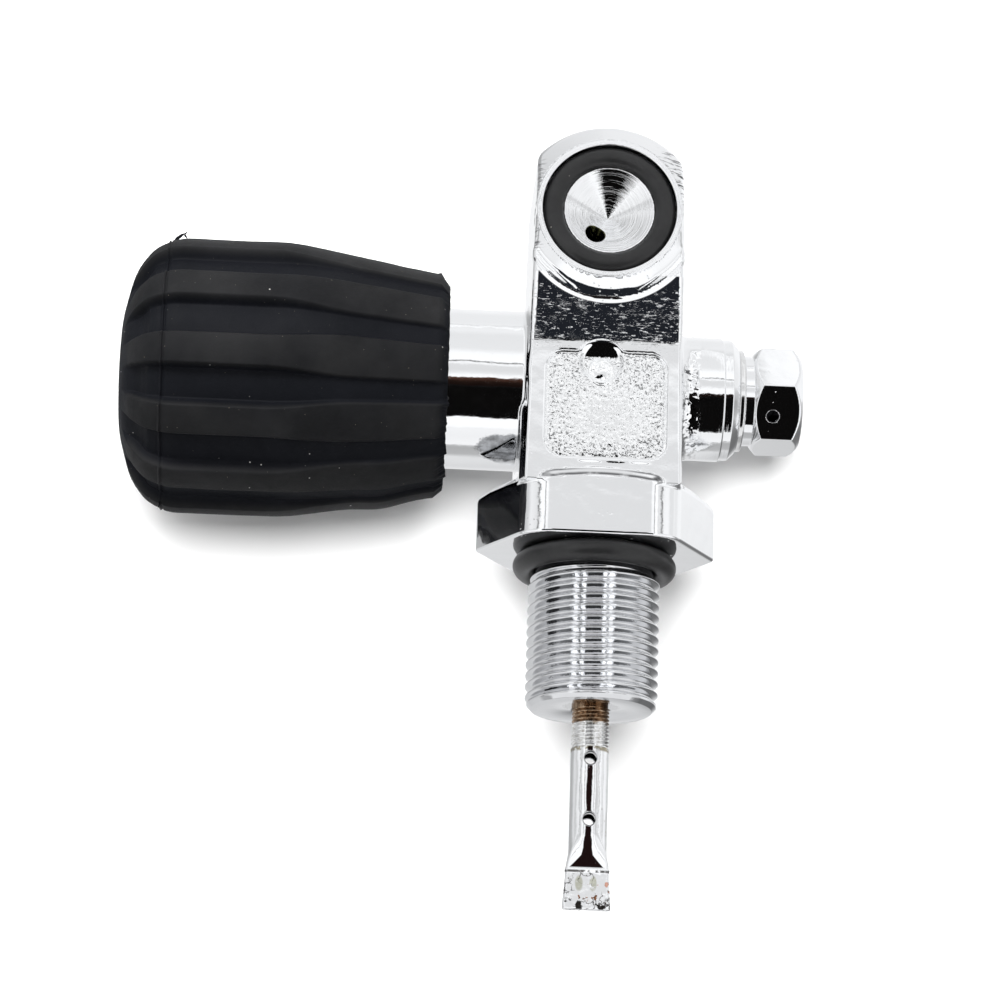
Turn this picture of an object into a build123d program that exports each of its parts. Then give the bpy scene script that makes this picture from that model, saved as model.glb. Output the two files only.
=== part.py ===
from build123d import *
import os

# Scuba cylinder valve (pillar valve, yoke outlet), millimetres, +Z up.
# Origin: centre of the wrench flange's underside, on the neck thread's axis.
# The outlet faces -Y (front), the handwheel is on -X (left), the burst plug on +X (right).
# Sizes ending in _X, _Y or _Z are places along that axis, those ending in _R are radii
# and those ending in _AF are widths across flats.

# --- dimensions shared by several pieces -----------------------------------
CROSS_Z = 22.9          # height of the handwheel / burst plug axis
OUTLET_Z = 44.5         # height of the outlet axis

FACE_Y = -14.86         # sealing face of the outlet
NECK_Z = -21.2          # neck end face
ARM_X = -27.0           # left arm's end face
PORT_ARM_X = 18.66      # right arm's end face

DRIVE_AF = 5.6          # square drive between spindle and handwheel
DRIVE_X = -45.0         # outer end of the square drive
CORE_AF = 19.0          # hexagonal core of the handwheel
CORE_X0, CORE_X1 = -33.6, -58.0

OVERRUN = 1.0           # how far a cutter starts outside the face it enters
TRIM = 60.0             # oversize length of trimming and slotting shapes
SEAT_GAP = 0.05         # axial gap between seated faces


# --- reference frames and helpers ------------------------------------------
def across(x):
    """Plane square to the cross axis at x: local x runs along +Y, local y along +Z."""
    return Plane(origin=(x, 0, CROSS_Z), x_dir=(1, 0, 0) and (0, 1, 0), z_dir=(1, 0, 0))


# Each turning frame is a profile plane, whose points are (place along the axis, radius),
# and the axis to revolve about. The neck's points are (radius, z).
CROSS = (
    Plane(origin=(0, 0, CROSS_Z), x_dir=(1, 0, 0), z_dir=(0, -1, 0)),
    Axis((0, 0, CROSS_Z), (1, 0, 0)),
)
OUTLET = (
    Plane(origin=(0, 0, OUTLET_Z), x_dir=(0, 1, 0), z_dir=(1, 0, 0)),
    Axis((0, 0, OUTLET_Z), (0, 1, 0)),
)
NECK = (Plane.XZ, Axis.Z)


# The next helpers act on the BuildPart that is open where they are called. Their sketches
# are private and handed over explicitly.
def turn(frame, *points, mode=Mode.ADD):
    """Revolve the closed outline through the points."""
    plane, axis = frame
    with BuildSketch(plane, mode=Mode.PRIVATE) as section:
        with BuildLine():
            Polyline(*points, points[0])
        make_face()
    revolve(section.sketch, axis=axis, mode=mode)


def rod(plane, radius, length, mode=Mode.ADD):
    """Round bar from the plane along its normal."""
    with BuildSketch(plane, mode=Mode.PRIVATE) as section:
        Circle(radius)
    extrude(section.sketch, amount=length, mode=mode)


def bore(plane, radius, depth):
    """Round hole from the plane along its normal."""
    rod(plane, radius, depth, mode=Mode.SUBTRACT)


def bore_x(radius, x0, x1):
    """Round hole on the cross axis."""
    bore(across(x0), radius, x1 - x0)


def hex_x(across_flats, x0, x1, rotation=0, mode=Mode.ADD):
    """Hexagonal bar on the cross axis."""
    with BuildSketch(across(x0), mode=Mode.PRIVATE) as section:
        RegularPolygon(across_flats / 2, 6, major_radius=False, rotation=rotation)
    extrude(section.sketch, amount=x1 - x0, mode=mode)


def box_x(width_y, height_z, x0, x1, mode=Mode.ADD):
    """Rectangular bar on the cross axis."""
    with BuildSketch(across(x0), mode=Mode.PRIVATE) as section:
        Rectangle(width_y, height_z)
    extrude(section.sketch, amount=x1 - x0, mode=mode)


# The next two helpers return whole pieces.
def o_rings(frame, section_r, *centres):
    """One ring for each section centre in the frame's profile plane."""
    plane, axis = frame
    with BuildPart() as rings:
        with BuildSketch(plane):
            with Locations(*centres):
                Circle(section_r)
        revolve(axis=axis)
    return rings.part


def washer(outer_r, inner_r, x, thickness):
    """Flat ring on the cross axis; x is its left face."""
    with BuildPart() as ring:
        with BuildSketch(across(x)):
            Circle(outer_r)
            Circle(inner_r, mode=Mode.SUBTRACT)
        extrude(amount=thickness)
    return ring.part


os.makedirs("parts", exist_ok=True)


def save(name, part):
    part.label = name
    export_step(part, f"parts/{name}.step")


# --- valve body ------------------------------------------------------------
FLANGE_AF = 28.0        # wrench flange, across its slanted flats
FLANGE_FLAT_Y = 11.9    # front and back flats of the flange
FLANGE_H = 9.1          # at the foot of the column, top of the turned cone
FLANGE_TURN_R = 16.4

COL_X0, COL_X1 = -10.0, 10.3      # column sides
COL_Y0, COL_Y1 = -11.6, 11.5      # column front and back
COL_EDGE_R = 1.1
COL_FOOT_Z = 3.0        # the column starts inside the flange

HEAD_R = 12.8           # head disc round the outlet axis
HEAD_HALF_X = 10.2      # half the width between the head's flat sides
HEAD_RIM_Y = -12.3      # where the head's front chamfer starts
HEAD_BACK_CHAMFER, HEAD_FRONT_CHAMFER = 1.0, 0.6
LIP_R = 9.75            # outer radius of the sealing lip

SWELL_Y = HEAD_RIM_Y - 0.5        # front of the swelling under the head
SWELL_BACK_Y = -6
SWELL_Z0, SWELL_Z1, SWELL_TOP_Z = 26.0, 34.4, 36.6   # foot, end of the curve, top
SWELL_HALF_X = 9.9

GLAND_R = 9.0           # outer radius of the O-ring gland
GLAND_IN_R = 6.09       # central rim inside the gland
GLAND_Y = -12.2         # gland floor
RIM_Y = -13.9           # top of the central rim
CONE_TIP_Y = -10.3      # tip of the outlet's drill cone

ARM_R = 10.9            # left arm
ARM_ROOT_X = -4.0
PORT_ARM_R = 8.4        # right arm
PORT_ARM_STEP_R = PORT_ARM_R - 0.25

THREAD_R = 8.85         # M18 neck thread, crest radius
THREAD_PITCH = 1.5
THREAD_DEPTH = 0.85
THREAD_GROOVES = 11
THREAD_Z = -4.45        # centre of the top groove
THREAD_CHAMFER = 0.75
NECK_RELIEF_R = 7.95    # undercut that holds the neck O-ring
NECK_ROOT_Z = 2

BONNET_BORE_R, BONNET_BORE_X = 8.0, -16.8    # radius and floor
CHAMBER_R = 6.0         # bore of the seat carrier
CHAMBER_X = -5.0        # chamber floor
NOZZLE_X = -6.0         # seat nozzle's lip
NOZZLE_BORE_R = 1.75
PASSAGE_R = 2.0         # inlet passage up the neck
PASSAGE_TOP_Z = CROSS_Z + 1.5
TUBE_BORE_R, TUBE_BORE_Z = 2.5, -14.0        # mouth of the inlet passage: radius, top
PORT_R, PORT_END_X = 1.5, 12.0               # burst port
PLUG_BORE_R = 4.95
PLUG_BORE_X0, PLUG_BORE_X1 = 9.5, 21.5

# Outlet passage: a slanted drilling
DRILL_R, DRILL_DEPTH = 1.4, 20.2
DRILL_ORIGIN = (-1.09, -13.6, 43.0)
DRILL_DIRECTION = (-0.36, 0.62, -0.80)

# Recesses in the column's front: (x, z) of the centre
PANEL_CENTRE, PANEL_W, PANEL_H, PANEL_R, PANEL_DEPTH = (0.35, 17.9), 16.1, 14.6, 2.3, 0.6
PRINT_CENTRE, PRINT_R, PRINT_DEPTH = (-0.4, 23.9), 3.0, 0.95


def column_front(centre):
    """Plane on the column's front, facing -Y."""
    x, z = centre
    return Plane(origin=(x, COL_Y0, z), x_dir=(1, 0, 0), z_dir=(0, -1, 0))


# Head: a disc on the outlet axis, its two sides cut flat
with BuildPart() as head_blank:
    turn(
        OUTLET,
        (COL_Y1, 0), (COL_Y1, HEAD_R - HEAD_BACK_CHAMFER),
        (COL_Y1 - HEAD_BACK_CHAMFER, HEAD_R), (HEAD_RIM_Y, HEAD_R),
        (HEAD_RIM_Y - HEAD_FRONT_CHAMFER, HEAD_R - HEAD_FRONT_CHAMFER),
        (FACE_Y, LIP_R), (FACE_Y, 0),
    )
    with BuildSketch(Plane.XY.offset(OUTLET_Z - TRIM / 2)):
        Rectangle(2 * HEAD_HALF_X, TRIM)
    extrude(amount=TRIM, mode=Mode.INTERSECT)

with BuildPart() as valve_body:
    # wrench flange: hexagon with corners on X, front and back flats cut closer in
    with BuildSketch(Plane.XY):
        RegularPolygon(FLANGE_AF / 2, 6, major_radius=False)
        Rectangle(TRIM, 2 * FLANGE_FLAT_Y, mode=Mode.INTERSECT)
    extrude(amount=FLANGE_H)
    # turned top cone and small bottom chamfer of the flange
    turn(
        NECK,
        (0, 0), (15.4, 0), (FLANGE_TURN_R, 0.6), (FLANGE_TURN_R, 7.43),
        (10.9, FLANGE_H), (0, FLANGE_H),
        mode=Mode.INTERSECT,
    )
    # column
    with BuildSketch(Plane.XY.offset(COL_FOOT_Z)):
        with Locations(((COL_X0 + COL_X1) / 2, (COL_Y0 + COL_Y1) / 2)):
            RectangleRounded(COL_X1 - COL_X0, COL_Y1 - COL_Y0, COL_EDGE_R)
    extrude(amount=OUTLET_Z - COL_FOOT_Z)
    # the column's front swells forward in a hollow curve to meet the head's rim
    with BuildSketch(Plane.YZ):
        with BuildLine():
            ThreePointArc((COL_Y0, SWELL_Z0), (COL_Y0 - 0.42, 29.9), (SWELL_Y, SWELL_Z1))
            Polyline(
                (SWELL_Y, SWELL_Z1), (SWELL_Y, SWELL_TOP_Z), (SWELL_BACK_Y, SWELL_TOP_Z),
                (SWELL_BACK_Y, SWELL_Z0), (COL_Y0, SWELL_Z0),
            )
        make_face()
    extrude(amount=SWELL_HALF_X, both=True)
    add(head_blank.part)
    # left arm
    rod(across(ARM_X), ARM_R, ARM_ROOT_X - ARM_X)
    # right arm: tapered root, barrel, end step and chamfer
    turn(
        CROSS,
        (4, 0), (4, 9.4), (10.3, 9.4), (11.0, 8.8), (12.2, PORT_ARM_R),
        (16.5, PORT_ARM_R), (16.6, PORT_ARM_STEP_R), (17.8, PORT_ARM_STEP_R),
        (PORT_ARM_X, PORT_ARM_R - 1.1), (PORT_ARM_X, 0),
    )
    # neck: undercut, thread blank and end chamfer
    turn(
        NECK,
        (0, NECK_ROOT_Z), (NECK_RELIEF_R, NECK_ROOT_Z), (NECK_RELIEF_R, -2.9),
        (THREAD_R, -3.5), (THREAD_R, NECK_Z + THREAD_CHAMFER),
        (THREAD_R - THREAD_CHAMFER, NECK_Z), (0, NECK_Z),
    )
    # neck thread, as separate ring grooves
    with BuildSketch(Plane.XZ):
        with Locations(*[(THREAD_R, THREAD_Z - THREAD_PITCH * i) for i in range(THREAD_GROOVES)]):
            Polygon(
                (0.4, -THREAD_PITCH * 0.55), (0.4, THREAD_PITCH * 0.55),
                (0, THREAD_PITCH * 0.42), (-THREAD_DEPTH, 0.08),
                (-THREAD_DEPTH, -0.08), (0, -THREAD_PITCH * 0.42),
                align=None,
            )
    revolve(axis=Axis.Z, mode=Mode.SUBTRACT)
    # outlet: O-ring gland and central drill cone
    turn(
        OUTLET,
        (FACE_Y - OVERRUN, 0), (FACE_Y - OVERRUN, GLAND_R), (GLAND_Y, GLAND_R),
        (GLAND_Y, GLAND_IN_R + 0.12), (RIM_Y, GLAND_IN_R), (CONE_TIP_Y, 0),
        mode=Mode.SUBTRACT,
    )
    # conical seat for the yoke screw in the back of the head
    turn(
        OUTLET,
        (COL_Y1 + OVERRUN, 0), (COL_Y1 + OVERRUN, 5.2), (COL_Y1, 4.6), (COL_Y1 - 3.4, 0),
        mode=Mode.SUBTRACT,
    )
    # left bore: bonnet bore, seat carrier chamber, raised seat nozzle
    bore_x(BONNET_BORE_R, ARM_X - OVERRUN, BONNET_BORE_X)
    turn(
        CROSS,
        (ARM_X, 0), (ARM_X, CHAMBER_R), (CHAMBER_X, CHAMBER_R), (CHAMBER_X, 3.0),
        (NOZZLE_X, 2.5), (NOZZLE_X, 0),
        mode=Mode.SUBTRACT,
    )
    # nozzle hole, from the chamber to the inlet passage
    bore_x(NOZZLE_BORE_R, NOZZLE_X - OVERRUN, 0)
    # inlet passage up the neck, with the wider mouth for the dip tube
    neck_start_z = NECK_Z - OVERRUN
    bore(Plane.XY.offset(neck_start_z), PASSAGE_R, PASSAGE_TOP_Z - neck_start_z)
    bore(Plane.XY.offset(neck_start_z), TUBE_BORE_R, TUBE_BORE_Z - neck_start_z)
    # burst port and bore of the burst plug
    bore_x(PORT_R, 0, PORT_END_X)
    bore_x(PLUG_BORE_R, PLUG_BORE_X0, PLUG_BORE_X1)
    # outlet passage, drilled from the outlet cone down to the chamber
    bore(
        Plane(origin=DRILL_ORIGIN, x_dir=(1, 0, 0), z_dir=DRILL_DIRECTION),
        DRILL_R, DRILL_DEPTH,
    )
    # sunk panel and round print on the front of the column
    with BuildSketch(column_front(PANEL_CENTRE)):
        RectangleRounded(PANEL_W, PANEL_H, PANEL_R)
    extrude(amount=-PANEL_DEPTH, mode=Mode.SUBTRACT)
    bore(column_front(PRINT_CENTRE), PRINT_R, -PRINT_DEPTH)
save("valve_body", valve_body.part)

# --- seals of the outlet and the neck --------------------------------------
OUT_RING_C, OUT_RING_S = 7.64, 1.31     # ring radius, section radius
OUT_RING_SINK = 0.02                    # how far the ring lies behind the sealing face
NECK_RING_C, NECK_RING_S, NECK_RING_Z = 9.5, 1.48, -1.55

out_ring_y = FACE_Y + OUT_RING_SINK + OUT_RING_S
save("outlet_o_ring", o_rings(OUTLET, OUT_RING_S, (out_ring_y, OUT_RING_C)))
save("neck_o_ring", o_rings(NECK, NECK_RING_S, (NECK_RING_C, NECK_RING_Z)))

# --- dip tube --------------------------------------------------------------
TUBE_R, TUBE_IN_R = 2.45, 1.6
TUBE_TOP_Z, TUBE_END_Z = -14.2, -47.9
TUBE_ROUND_END_Z = -39.5
TUBE_BORE_END_Z = -40.0
TUBE_FLAT_Z = -42.8     # from here down the tube is flat
FLAT_W, FLAT_END_W, FLAT_T, FLAT_EDGE_R = 5.8, 6.4, 1.7, 0.6
TUBE_HOLE_R = 0.825
TUBE_HOLE_Z = (-28.06, -36.23)

with BuildPart() as dip_tube:
    rod(Plane.XY.offset(TUBE_ROUND_END_Z), TUBE_R, TUBE_TOP_Z - TUBE_ROUND_END_Z)
    # the round tube is pressed flat towards its end
    with BuildSketch(Plane.XY.offset(TUBE_ROUND_END_Z)):
        Circle(TUBE_R)
    with BuildSketch(Plane.XY.offset(TUBE_FLAT_Z)):
        Ellipse(FLAT_W / 2, 1.0)
    loft()
    with BuildSketch(Plane.XY.offset(TUBE_FLAT_Z)):
        RectangleRounded(FLAT_W, FLAT_T, FLAT_EDGE_R)
    with BuildSketch(Plane.XY.offset(TUBE_END_Z)):
        RectangleRounded(FLAT_END_W, FLAT_T, FLAT_EDGE_R)
    loft()
    bore(Plane.XY.offset(TUBE_TOP_Z), TUBE_IN_R, TUBE_BORE_END_Z - TUBE_TOP_Z)
    # two cross holes, front to back
    with BuildSketch(Plane.XZ):
        with Locations(*[(0, z) for z in TUBE_HOLE_Z]):
            Circle(TUBE_HOLE_R)
    extrude(amount=6, both=True, mode=Mode.SUBTRACT)
save("dip_tube", dip_tube.part)

# --- bonnet nut and its O-ring ---------------------------------------------
BONNET_X = -32.0        # outer face of the nut
BONNET_AF = 20.0
BONNET_TURN_R = 11.7    # the hexagon's corners are turned to this
BONNET_R = 7.92         # shank
BONNET_END_X = -17.0    # inner end of the shank
BONNET_GROOVE_X0, BONNET_GROOVE_X1, BONNET_GROOVE_R = -25.6, -23.8, 6.5
JOURNAL_BORE_R = 4.04
POCKET_R, POCKET_X = 6.2, -19.4    # recess in the shank's inner end

bonnet_seat_x = ARM_X - SEAT_GAP
with BuildPart() as bonnet_nut:
    hex_x(BONNET_AF, BONNET_X, bonnet_seat_x, rotation=30)
    turn(
        CROSS,
        (BONNET_X, 0), (BONNET_X, 10.3), (BONNET_X + 0.8, BONNET_TURN_R),
        (bonnet_seat_x, BONNET_TURN_R), (bonnet_seat_x, 0),
        mode=Mode.INTERSECT,
    )
    turn(
        CROSS,
        (ARM_X - 0.5, 0), (ARM_X - 0.5, BONNET_R), (BONNET_GROOVE_X0, BONNET_R),
        (BONNET_GROOVE_X0, BONNET_GROOVE_R), (BONNET_GROOVE_X1, BONNET_GROOVE_R),
        (BONNET_GROOVE_X1, BONNET_R), (BONNET_END_X - 0.4, BONNET_R),
        (BONNET_END_X, BONNET_R - 0.5), (BONNET_END_X, 0),
    )
    bore_x(JOURNAL_BORE_R, BONNET_X - OVERRUN, BONNET_END_X + 4)
    bore_x(POCKET_R, POCKET_X, BONNET_END_X + 1.6)
save("bonnet_nut", bonnet_nut.part)

bonnet_ring_x = (BONNET_GROOVE_X0 + BONNET_GROOVE_X1) / 2
save("bonnet_o_ring", o_rings(CROSS, 0.72, (bonnet_ring_x, 7.25)))

# --- spindle and its seals -------------------------------------------------
JOURNAL_R = 4.0
GROOVE_R = 2.9          # floor of the two seal grooves
STUD_R = 2.95           # M6 stud for the handwheel nut
STUD_X = -57.0          # outer end of the stud
DRIVE_ROOT_X = -33.0
COLLAR_R, COLLAR_X = 5.9, -18.6
TANG_T, TANG_W = 2.4, 9.0

with BuildPart() as spindle:
    turn(
        CROSS,
        (STUD_X, 0), (STUD_X, STUD_R - 0.5), (STUD_X + 0.5, STUD_R),
        (DRIVE_X, STUD_R), (DRIVE_X, 2.6), (DRIVE_ROOT_X, 2.6),
        (DRIVE_ROOT_X, JOURNAL_R - 0.3), (DRIVE_ROOT_X + 0.3, JOURNAL_R),
        (-28.2, JOURNAL_R), (-28.2, GROOVE_R), (-26.8, GROOVE_R), (-26.8, JOURNAL_R),
        (-24.6, JOURNAL_R), (-24.6, GROOVE_R), (-22.0, GROOVE_R), (-22.0, JOURNAL_R),
        (COLLAR_X, JOURNAL_R), (COLLAR_X, COLLAR_R), (-17.1, COLLAR_R), (-17.1, 0),
    )
    # square drive of the handwheel
    box_x(DRIVE_AF, DRIVE_AF, DRIVE_X, DRIVE_ROOT_X + 0.1)
    # driving tang of the seat carrier
    box_x(TANG_W, TANG_T, -17.2, -11.9)
save("spindle", spindle.part)

save("spindle_o_rings", o_rings(CROSS, 0.53, (-27.5, 3.47), (-22.65, 3.47)))

with BuildPart() as backup_ring:
    turn(CROSS, (-24.5, 2.95), (-24.5, 4.0), (-23.4, 4.0), (-23.4, 2.95))
save("spindle_backup_ring", backup_ring.part)

save("spindle_thrust_washer", washer(outer_r=6.0, inner_r=4.1, x=-19.35, thickness=0.7))

# --- seat ------------------------------------------------------------------
CARRIER_R = 5.93
CARRIER_X0, CARRIER_X1 = -14.2, -6.6
SLOT_T, SLOT_END_X = 2.5, -9.2     # slot for the spindle's tang
INSERT_R, INSERT_X, INSERT_T = 3.3, -8.2, 2.15
INSERT_BORE_R = INSERT_R + 0.05
INSERT_FLOOR_X = INSERT_X - SEAT_GAP

with BuildPart() as seat_carrier:
    turn(
        CROSS,
        (CARRIER_X0, 0), (CARRIER_X0, CARRIER_R - 0.4), (CARRIER_X0 + 0.4, CARRIER_R),
        (CARRIER_X1 - 0.6, CARRIER_R), (CARRIER_X1, CARRIER_R - 0.6),
        (CARRIER_X1, INSERT_BORE_R), (INSERT_FLOOR_X, INSERT_BORE_R), (INSERT_FLOOR_X, 0),
    )
    box_x(TRIM, SLOT_T, CARRIER_X0 - OVERRUN, SLOT_END_X, mode=Mode.SUBTRACT)
save("seat_carrier", seat_carrier.part)

with BuildPart() as seat_insert:
    rod(across(INSERT_X), INSERT_R, INSERT_T)
save("seat_insert", seat_insert.part)

# --- handwheel grip --------------------------------------------------------
GRIP_X0, GRIP_X1 = -20.8, -64.6    # open end and closed end
GRIP_R, GRIP_MOUTH_R = 18.6, 14.8  # over the ribs
GRIP_TAPER_X = -42.0
GRIP_ROUND_R = 6.5      # rounding of the closed end
SKIRT_R, SKIRT_FLOOR_X = 12.6, -33.5    # bore of the skirt round the arm
GRIP_EYE_R = 7.5        # opening at the closed end
GRIP_EYE_DEPTH = 9.0
RIB_COUNT, RIB_W, RIB_H = 12, 4.5, 1.3
RIB_CENTRE_R, RIB_L, RIB_START_ANGLE = 14.0, 12, 184
CORE_CLEARANCE = 0.03   # per side


def turn_grip(inner_r, mouth_r, outer_r, mode=Mode.ADD):
    """Revolve the grip's tapered shape with its rounded closed end."""
    plane, axis = CROSS
    round_x = GRIP_X1 + GRIP_ROUND_R
    end_r = outer_r - GRIP_ROUND_R
    with BuildSketch(plane, mode=Mode.PRIVATE) as section:
        with BuildLine():
            Polyline(
                (GRIP_X1, inner_r), (GRIP_X0, inner_r), (GRIP_X0, mouth_r),
                (GRIP_TAPER_X, outer_r), (round_x, outer_r),
            )
            RadiusArc((round_x, outer_r), (GRIP_X1, end_r), -GRIP_ROUND_R)
            Line((GRIP_X1, end_r), (GRIP_X1, inner_r))
        make_face()
    revolve(section.sketch, axis=axis, mode=mode)


# Ribs: bars cut to the grip's outer shape
with BuildPart() as grip_ribs:
    with BuildSketch(across(GRIP_X1)):
        with PolarLocations(RIB_CENTRE_R, RIB_COUNT, start_angle=RIB_START_ANGLE):
            Rectangle(RIB_L, RIB_W)
    extrude(amount=GRIP_X0 - GRIP_X1)
    turn_grip(inner_r=8, mouth_r=GRIP_MOUTH_R, outer_r=GRIP_R, mode=Mode.INTERSECT)

with BuildPart() as handwheel_grip:
    turn_grip(inner_r=0, mouth_r=GRIP_MOUTH_R - 0.3, outer_r=GRIP_R - RIB_H)
    add(grip_ribs.part)
    bore_x(SKIRT_R, GRIP_X0 + OVERRUN, SKIRT_FLOOR_X)
    # hexagonal pocket of the core
    hex_x(
        CORE_AF + 2 * CORE_CLEARANCE, CORE_X1 - SEAT_GAP, CORE_X0 + OVERRUN - SEAT_GAP,
        mode=Mode.SUBTRACT,
    )
    # opening at the closed end, over the nut
    bore_x(GRIP_EYE_R, GRIP_X1 - OVERRUN, GRIP_X1 + GRIP_EYE_DEPTH)
save("handwheel_grip", handwheel_grip.part)

# --- handwheel core and fastening ------------------------------------------
CORE_WELL_R = 6.6       # well round the spring and nut
DRIVE_HOLE_AF = DRIVE_AF + 0.1
NUT_R, NUT_BORE_R, NUT_CHAMFER = 6.2, 3.0, 1.0
NUT_X0, NUT_X1 = -57.4, -53.3      # outer and inner face
NUT_SLOT_W, NUT_SLOT_X0, NUT_SLOT_X1 = 1.6, -58.0, -56.4

with BuildPart() as handwheel_core:
    hex_x(CORE_AF, CORE_X1, CORE_X0)
    bore_x(CORE_WELL_R, CORE_X1 - OVERRUN, DRIVE_X)
    box_x(DRIVE_HOLE_AF, DRIVE_HOLE_AF, DRIVE_X - OVERRUN, -32.0, mode=Mode.SUBTRACT)
save("handwheel_core", handwheel_core.part)

save("handwheel_spring_washer", washer(outer_r=6.3, inner_r=3.05, x=-45.85, thickness=0.8))

with BuildPart() as handwheel_spring:
    with BuildLine() as coil:
        Helix(pitch=1.5, height=6.4, radius=4.6, center=(-46.4, 0, CROSS_Z), direction=(-1, 0, 0))
    with BuildSketch(Plane(origin=coil.line @ 0, z_dir=coil.line % 0)):
        Circle(0.45)
    sweep(is_frenet=True)
save("handwheel_spring", handwheel_spring.part)

with BuildPart() as handwheel_nut:
    turn(
        CROSS,
        (NUT_X1, NUT_BORE_R), (NUT_X1, NUT_R), (NUT_X0 + NUT_CHAMFER, NUT_R),
        (NUT_X0, NUT_R - NUT_CHAMFER), (NUT_X0, NUT_BORE_R),
    )
    # screwdriver slot
    box_x(TRIM, NUT_SLOT_W, NUT_SLOT_X0, NUT_SLOT_X1, mode=Mode.SUBTRACT)
save("handwheel_nut", handwheel_nut.part)

# --- burst disc assembly ---------------------------------------------------
DISC_X = PLUG_BORE_X0 + SEAT_GAP   # left face of the disc
DISC_R = 4.6            # disc and gasket
PLUG_R = 4.9
PLUG_AF = 13.0
PLUG_X0, PLUG_X1 = 10.7, 27.65
PLUG_COLLAR_X = 19.55   # left face of the collar
PLUG_COLLAR_R = 6.1
PLUG_COLLAR_END_X = 21.7
PLUG_BLIND_R, PLUG_BLIND_X = 2.2, 25.3   # blind bore: radius, floor
VENT_R, VENT_X = 0.9, 23.8
VENT_ANGLES = (120, 0, 240)        # about the cross axis, from +Z

with BuildPart() as burst_disc:
    turn(
        CROSS,
        (DISC_X, 0), (DISC_X, DISC_R), (9.8, DISC_R), (9.8, 2.0), (9.95, 1.2), (10.05, 0),
    )
save("burst_disc", burst_disc.part)

save("burst_disc_gasket", washer(outer_r=DISC_R, inner_r=2.2, x=9.85, thickness=0.8))

with BuildPart() as burst_plug:
    hex_x(PLUG_AF, PLUG_COLLAR_X + 1.5, PLUG_X1)
    # both ends of the hexagon are chamfered
    turn(
        CROSS,
        (PLUG_COLLAR_X, 0), (PLUG_COLLAR_X, 6.6), (21.2, 6.6), (22.0, 7.6), (26.9, 7.6),
        (PLUG_X1, 6.3), (PLUG_X1, 0),
        mode=Mode.INTERSECT,
    )
    # shank and collar
    turn(
        CROSS,
        (PLUG_X0, 0), (PLUG_X0, PLUG_R - 0.4), (PLUG_X0 + 0.4, PLUG_R),
        (PLUG_COLLAR_X - 0.05, PLUG_R), (PLUG_COLLAR_X, PLUG_COLLAR_R),
        (PLUG_COLLAR_END_X, PLUG_COLLAR_R), (PLUG_COLLAR_END_X, 0),
    )
    # blind bore and three radial vents
    bore_x(PLUG_BLIND_R, PLUG_X0 - OVERRUN, PLUG_BLIND_X)
    with Locations(
        *[
            Plane(
                origin=(VENT_X, 0, CROSS_Z), x_dir=(1, 0, 0),
                z_dir=Vector(0, 0, 1).rotate(Axis.X, angle),
            ).location
            for angle in VENT_ANGLES
        ]
    ):
        Cylinder(
            VENT_R, 10, align=(Align.CENTER, Align.CENTER, Align.MIN), mode=Mode.SUBTRACT
        )
save("burst_plug", burst_plug.part)

save(
    "burst_plug_washer",
    washer(outer_r=6.9, inner_r=5.05, x=PORT_ARM_X + 0.03, thickness=0.8),
)
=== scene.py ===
"""Scuba cylinder valve: plated body, turned outlet, threaded neck, burst plug and rubber grip.

The valve stands on its neck: +Z up, outlet towards -Y (the front), handwheel towards -X (the
left), burst plug towards +X. Shapes are worked out in millimetres and scaled to metres when the
meshes are made. Shader coordinates are in metres.
"""

import math
from functools import reduce
from itertools import product

import bmesh
import bpy
import numpy as np
from mathutils import Matrix, Vector


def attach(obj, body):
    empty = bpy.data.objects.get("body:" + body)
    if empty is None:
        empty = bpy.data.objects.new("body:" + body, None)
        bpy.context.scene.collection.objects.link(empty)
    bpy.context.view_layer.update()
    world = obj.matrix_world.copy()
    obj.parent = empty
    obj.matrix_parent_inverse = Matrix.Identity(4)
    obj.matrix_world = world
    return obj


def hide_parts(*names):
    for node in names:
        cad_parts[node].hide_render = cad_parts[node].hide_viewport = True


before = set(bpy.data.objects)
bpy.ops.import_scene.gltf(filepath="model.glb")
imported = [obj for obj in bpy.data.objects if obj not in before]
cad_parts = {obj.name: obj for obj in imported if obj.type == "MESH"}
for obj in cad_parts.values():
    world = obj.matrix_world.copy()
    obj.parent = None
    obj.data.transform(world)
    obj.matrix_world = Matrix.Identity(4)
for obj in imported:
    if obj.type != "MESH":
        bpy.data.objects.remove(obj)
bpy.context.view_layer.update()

MM = 0.001
COARSE = 1.0  # factor on every grid's cell size

CROSS_Z = 22.9   # height of the cross axis, along X through both arms
OUTLET_Z = 44.5  # height of the outlet axis, along Y
COS30, SIN30 = math.cos(math.radians(30)), 0.5

# valve body
FRONT_Y, BACK_Y = -11.6, 11.5  # front and back of the column
HEAD_R = 12.8                  # round head about the outlet axis
FACE_Y = -14.86                # front face of the head
COLUMN_FOOT_Z = 7.2            # the column ends inside the flange
ARM_R, ARM_END_X = 10.9, -27.0
STUB_R, STUB_END_X = 8.4, 13.6
HEX_HALF = 14.0                # half width across the flange's slanting flats

# cast panel in the front: a rounded rectangle with a round lobe across its top edge
PANEL_X, PANEL_Z = 0.35, 17.9
PANEL_HALF_X, PANEL_HALF_Z, PANEL_CORNER = 8.05, 7.3, 2.3
LOBE_X, LOBE_Z, LOBE_R = -0.4, 23.9, 3.0

# slanting gas passage: a point on its axis and its direction
GAS_AT = np.array([-1.09, -13.6, 43.0])
GAS_DIR = np.array([-0.36, 0.62, -0.80])
GAS_DIR = GAS_DIR / np.linalg.norm(GAS_DIR)

# turned outlet insert
OUTLET_R, SEAT_R, SEAT_Y = 9.8, 5.95, -13.9

# neck thread
NECK_PITCH, NECK_CREST, NECK_ROOT = 1.5, 8.85, 8.02
NECK_BOTTOM, NECK_TOP = -21.2, 0.8
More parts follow.
